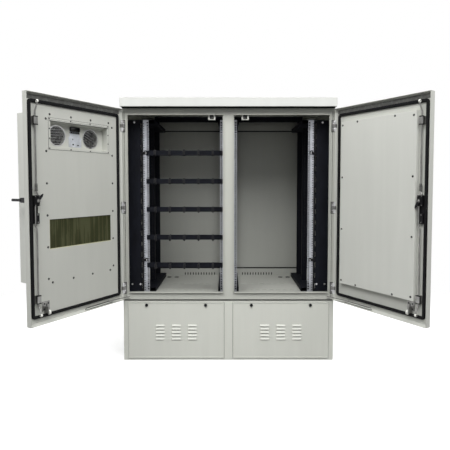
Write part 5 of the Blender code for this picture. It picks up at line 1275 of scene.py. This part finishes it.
def addHoledPlate(bm, low, high, t, thick, holes):  # an upright plate with round holes
    part = bmesh.new()
    middle, half = (low + high) / 2, (high - low) / 2
    outline = Matrix.Translation((middle.x, middle.y, 0)) @ Matrix.Diagonal((half.x, half.y, 1, 1))
    bmesh.ops.create_grid(part, x_segments=1, y_segments=1, size=1, matrix=outline)
    bmesh.ops.delete(part, geom=part.faces[:], context="FACES_ONLY")
    for u, z, radius in holes:
        spot = Matrix.Translation((u, z, 0))
        bmesh.ops.create_circle(part, segments=fan["steps"], radius=radius, matrix=spot)
    bmesh.ops.triangle_fill(part, use_beauty=True, edges=part.edges)
    made = bmesh.ops.extrude_face_region(part, geom=part.faces)["geom"]
    lifted = [item for item in made if isinstance(item, bmesh.types.BMVert)]
    bmesh.ops.translate(part, verts=lifted, vec=(0, 0, thick))
    bmesh.ops.recalc_face_normals(part, faces=part.faces)
    joinPart(bm, part, 0, Matrix.Translation((0, t + thick, 0)) @ Matrix.Rotation(math.pi / 2, 4, "X"))


def openTray():  # the tray's flange and walls, with a holed back and a shroud behind each fan guard
    name = "ac_return_panel"
    bm = mergedCopy(name)
    bm.transform(home["left"].inverted())
    back = [face for face in bm.faces if face.calc_center_median().y > fan["backT"] - 0.0015]
    bmesh.ops.delete(bm, geom=back, context="FACES")
    holes = [(u, fan["z"], fan["radius"]) for u in fan["u"]]
    addHoledPlate(bm, *(Vector(corner) for corner in tray["corners"]), fan["backT"], fan["sheet"], holes)
    for u in fan["u"]:
        spot = facing(outward, (u, fan["backT"], fan["z"]))
        addTurned(bm, section(*tray["tube"]), spot, fan["steps"], True)
    addPiece(name + "_made", bm, ["door"], "left", name, smooth=25, flatOver=flatArea)


def makeFanGuards():  # slanted slats in a ring
    half, z, t = fan["slat"], fan["z"], fan["backT"]
    near, far = fan["slatY"]
    for k, (u, tilt) in enumerate(zip(fan["u"], fan["tilts"])):
        bm = bmesh.new()
        addTurned(bm, fan["rim"], facing(inward, (u, t, z)), fan["steps"], True)
        for row in fan["rows"]:
            rise = row * fan["pitch"]
            reach = math.sqrt(max((fan["radius"] - 0.001) ** 2 - (abs(rise) + half) ** 2, 0))
            if reach < fan["least"]:
                continue
            slat = bmesh.new()
            addBlock(slat, (-reach, near, rise - half), (reach, far, rise + half), 0.0005)
            joinPart(bm, slat, 0, Matrix.Translation((u, t, z)) @ Matrix.Rotation(tilt, 4, "Y"))
        addPiece(f"fan_guard_{k + 1}", bm, ["screw"], "left")


rotor = {
    "blades": 7, "bore": 0.0066, "hub": 0.0185, "root": 0.01776, "tip": 0.05, "pitch": math.radians(34),
    "untwist": 0.35, "sweep": 0.34, "chord": (0.02, 0.007), "thick": 0.0013,
    "dome": ((1, 0.86), (0.93, 0.97), (0.8, 1), (0, 1), (0, 0.86)),  # times the hub's radius and depth
}


def makeRotors():  # a domed hub with twisted, swept blades
    hub, root, bore = rotor["hub"], rotor["root"], rotor["bore"]
    rootChord, moreChord = rotor["chord"]
    for k, u in enumerate(fan["u"]):
        name = f"ac_fan_{k + 1}"
        low, high = spanOf(name, "left")
        depth = high.y - low.y
        spot = facing(inward, (u, high.y, fan["z"]))
        dome = [(hub * out, depth * up) for out, up in rotor["dome"]]
        bm = bmesh.new()
        addTurned(bm, [(bore, 0), (hub, 0), *dome, (bore, depth * 0.86)], spot, 40)
        for blade in range(rotor["blades"]):
            vane = bmesh.new()
            bmesh.ops.create_grid(vane, x_segments=7, y_segments=5, size=0.5)
            for vert in vane.verts:
                out, along = vert.co.x + 0.5, vert.co.y
                radius = root + (rotor["tip"] - root) * out
                lean = rotor["pitch"] * (1 - rotor["untwist"] * out)
                chord = rootChord + moreChord * out
                turn = rotor["sweep"] * out**1.5 + along * chord * math.cos(lean) / radius
                height = depth / 2 + along * chord * math.sin(lean)
                vert.co = (radius * math.cos(turn), radius * math.sin(turn), height)
            bmesh.ops.solidify(vane, geom=vane.faces, thickness=rotor["thick"])
            bmesh.ops.recalc_face_normals(vane, faces=vane.faces)
            joinPart(bm, vane, 0, spot @ Matrix.Rotation(2 * math.pi * blade / rotor["blades"], 4, "Z"))
        addPiece(name + "_made", bm, ["black"], "left", name, smooth=50)


exchanger = {
    "front": 0.013, "end": 0.006, "endDeep": 0.014,
    "finU": (0.09, 0.512), "finPitch": 0.0021, "fin": 0.00035, "finT": (0.0006, 0.0136), "finIn": 0.003,
    "fall": 0.0014, "waves": (1.7, 0.37, 1.0),
    "tubeZ": [0.02 + row * 0.0262 for row in range(6)], "tubeIn": 0.002, "tubeT": 0.0075, "tube": 0.0036,
    "drip": (
        ((0.089, 0.02, 0.7592), (0.513, 0.0212, 0.7624)),
        ((0.5106, 0.02, 0.7624), (0.513, 0.0212, 0.9138)),
    ),
}


def makeExchanger():  # thin fins across bent tubes, over a drip tray's edge
    low, high = spanOf("ac_core", "left")
    bm = bmesh.new()
    addBlock(bm, (low.x, low.y + exchanger["front"], low.z), high, 0.001)
    for start, end in ((low.x, low.x + exchanger["end"]), (high.x - exchanger["end"], high.x)):
        addBlock(bm, (start, low.y, low.z), (end, low.y + exchanger["endDeep"], high.z), 0.0006)
    start, end = exchanger["finU"]
    front, back = (low.y + deep for deep in exchanger["finT"])
    half, inset = exchanger["fin"], exchanger["finIn"]
    quick, slow, shift = exchanger["waves"]
    for k in range(int((end - start) / exchanger["finPitch"]) + 1):
        u = start + k * exchanger["finPitch"]
        wave = math.sin(k * quick) * math.sin(k * slow + shift)
        near = front + exchanger["fall"] * (0.5 + 0.5 * wave)
        addBlock(bm, (u - half, near, low.z + inset), (u + half, back, high.z - inset))
    addPiece("ac_core_made", bm, ["fins"], "left", "ac_core")
    bm = bmesh.new()
    inset, t = exchanger["tubeIn"], low.y + exchanger["tubeT"]
    for rise in exchanger["tubeZ"]:
        z = low.z + rise
        addRod(bm, (low.x + inset, t, z), (high.x - inset, t, z), exchanger["tube"], 16)
    addPiece("ac_core_tubes", bm, ["fins"], "left")
    bm = bmesh.new()
    for strip in exchanger["drip"]:
        addBlock(bm, *strip, 0.0004)
    addPiece("ac_drip_edge", bm, ["tray"], "left")


display = {
    "u": (0.277, 0.344), "z": (1.388, 1.412), "rise": 0.006, "window": (0.005, 0.004),
    "keys": 4, "keyWide": 0.0104, "keyTall": 0.0066, "keyZ": 1.3815, "keyT": (-0.0008, 0.0002),
    "strip": (-0.0125, -0.0006), "plate": 0.0012, "plateTop": 1.358, "studIn": 0.005, "studTop": 1.353,
    "stud": [(0, 0), (0.0019, 0), (0.0014, 0.0008), (0, 0.001)], "socketT": (-0.0018, -0.001),
    "sockets": (  # u, z, wide, tall
        (0.324, 1.344, 0.0052, 0.007), (0.322, 1.316, 0.01, 0.008), (0.289, 1.313, 0.012, 0.005),
    ),
    "neck": (1.3575, 1.376),
}


def makeController():  # a black display in its bezel, a grey key strip, and a bare plate on studs
    low, high = spanOf("ac_controller", "left")
    back, plate = high.y, high.y - display["plate"]
    (near, far), (bottom, top) = display["u"], display["z"]
    aside, up = display["window"]
    face, keyFace = back - display["rise"], back - display["rise"] / 2
    bm = bmesh.new()
    addPad(bm, (near, face, bottom), (far, back, top), 0.003, 0.001)
    window = (near + aside, face - 0.0004, bottom + up), (far - aside, face + 0.001, top - up)
    addPad(bm, *window, 0.0015, 0.0002, 1)
    under, over = (bottom + step for step in display["strip"])
    addPad(bm, (near, keyFace, under), (far, back, over), 0.003, 0.0006, 2)
    pitch = (far - near) / (display["keys"] + 0.5)
    keyT = [keyFace + step for step in display["keyT"]]
    for k in range(display["keys"]):
        key = boxAt(near + pitch * (k + 0.75), display["keyZ"], display["keyWide"], display["keyTall"], *keyT)
        addPad(bm, *key, 0.0028, 0.0003)
    addPad(bm, (low.x, plate, low.z), (high.x, back, display["plateTop"]), 0.003, 0.0003, 3)
    for u in (low.x + display["studIn"], high.x - display["studIn"]):
        for z in (low.z + display["studIn"], display["studTop"]):
            addTurned(bm, display["stud"], facing(inward, (u, plate, z)), 14, index=3)
    for socket in display["sockets"]:
        addPad(bm, *boxAt(*socket, *(back + step for step in display["socketT"])), 0.001, 0.0002)
    foot, head = display["neck"]
    addBlock(bm, (near, plate, foot), (far, back, head), 0.0003, 1, 3)
    addPiece("ac_controller_made", bm, ["black", "display", "key", "plate"], "left", "ac_controller")


def makeTrayTrim():  # black strips painting the shadow lines round the flange's edge and above and below the hood's folded lip
    start, end = tray["flange"][0][0] + tray["hoodIn"], tray["flange"][1][0] - tray["hoodIn"]
    bm = bmesh.new()
    addBorder(bm, *tray["flange"], *tray["flangeShadowT"], tray["foam"], 0.0003)
    near, far = tray["hoodShadowT"]
    for z in tray["hoodShadowZ"]:
        addBlock(bm, (start, near, z), (end, far, z + tray["hoodShadowTall"]), 0.0003)
    addPiece("ac_tray_shadow_lines", bm, ["foam"], "left")
    near, far = tray["hoodT"]
    hood, half = tray["hoodZ"], tray["hoodTall"]
    bm = bmesh.new()
    addBlock(bm, (start, near, hood - half), (end, far, hood + half), 0.0012, 3)
    addPiece("ac_tray_hood", bm, ["housing"], "left", weighted=True)


def makeFlangeScrews():
    (near, low), (far, high) = tray["screws"]
    spots = [(near + (far - near) * k / 3, z) for k in range(4) for z in (low, high)]
    spots += [(u, low + (high - low) * k / 3) for k in (1, 2) for u in (near, far)]
    bm = bmesh.new()
    for u, z in spots:
        addScrew(bm, (u, tray["flangeT"], z), tray["screw"], u * 23 + z * 7)
    addPiece("ac_tray_screws", bm, ["lever"], "left")


casing = {
    "grilles": (0.7, 1.24), "slots": 11, "pitch": 0.018, "margin": 0.06, "edge": 0.0016,
    "blade": ((-0.013, -0.0006), (0.0016, 0.0006)), "bladeSpot": (-0.0022, 0.003),
    "lean": math.radians(-38), "filterT": (-0.021, -0.016),
    "washer": (0.0065, 0, 0.0008), "washerIn": (0.02, 0.03),
}


def makeCasing():  # the weather-side housing: downturned blades in its grilles, and washers down its edges
    dress("ac_housing", ["housing"], casing["edge"])
    low, high = spanOf("ac_housing", "left")
    near, far = low.x + casing["margin"], high.x - casing["margin"]
    (front, under), (back, over) = casing["blade"]
    sunk, rise = casing["bladeSpot"]
    blades, foam, washers = (bmesh.new() for k in range(3))
    for middle in casing["grilles"]:
        for k in range(casing["slots"]):
            z = middle + (k - (casing["slots"] - 1) / 2) * casing["pitch"]
            blade = bmesh.new()
            addBlock(blade, (near - 0.002, front, under), (far + 0.002, back, over), 0.0003)
            spot = Matrix.Translation((0, high.y + sunk, z + rise)) @ Matrix.Rotation(casing["lean"], 4, "X")
            joinPart(blades, blade, 0, spot)
        reach = casing["slots"] * casing["pitch"] / 2
        deep, shallow = (high.y + step for step in casing["filterT"])
        sheet = (near - 0.006, deep, middle - reach), (far + 0.006, shallow, middle + reach)
        addBlock(foam, *sheet, 0.001, 2)
    aside, up = casing["washerIn"]
    for u in (low.x + aside, high.x - aside):
        for k in range(4):
            z = low.z + up + k * (high.z - low.z - 2 * up) / 3
            addTurned(washers, section(*casing["washer"]), facing(outward, (u, high.y, z)), 20)
    addPiece("ac_grille_blades", blades, ["door"], "left")
    addPiece("ac_grille_filters", foam, ["foam"], "left")
    addPiece("ac_housing_washers", washers, ["zinc"], "left")


for make in (openTray, makeFanGuards, makeRotors, makeExchanger, makeController):
    make()
for make in (makeTrayTrim, makeFlangeScrews, makeCasing):
    make()
print("air conditioner done")
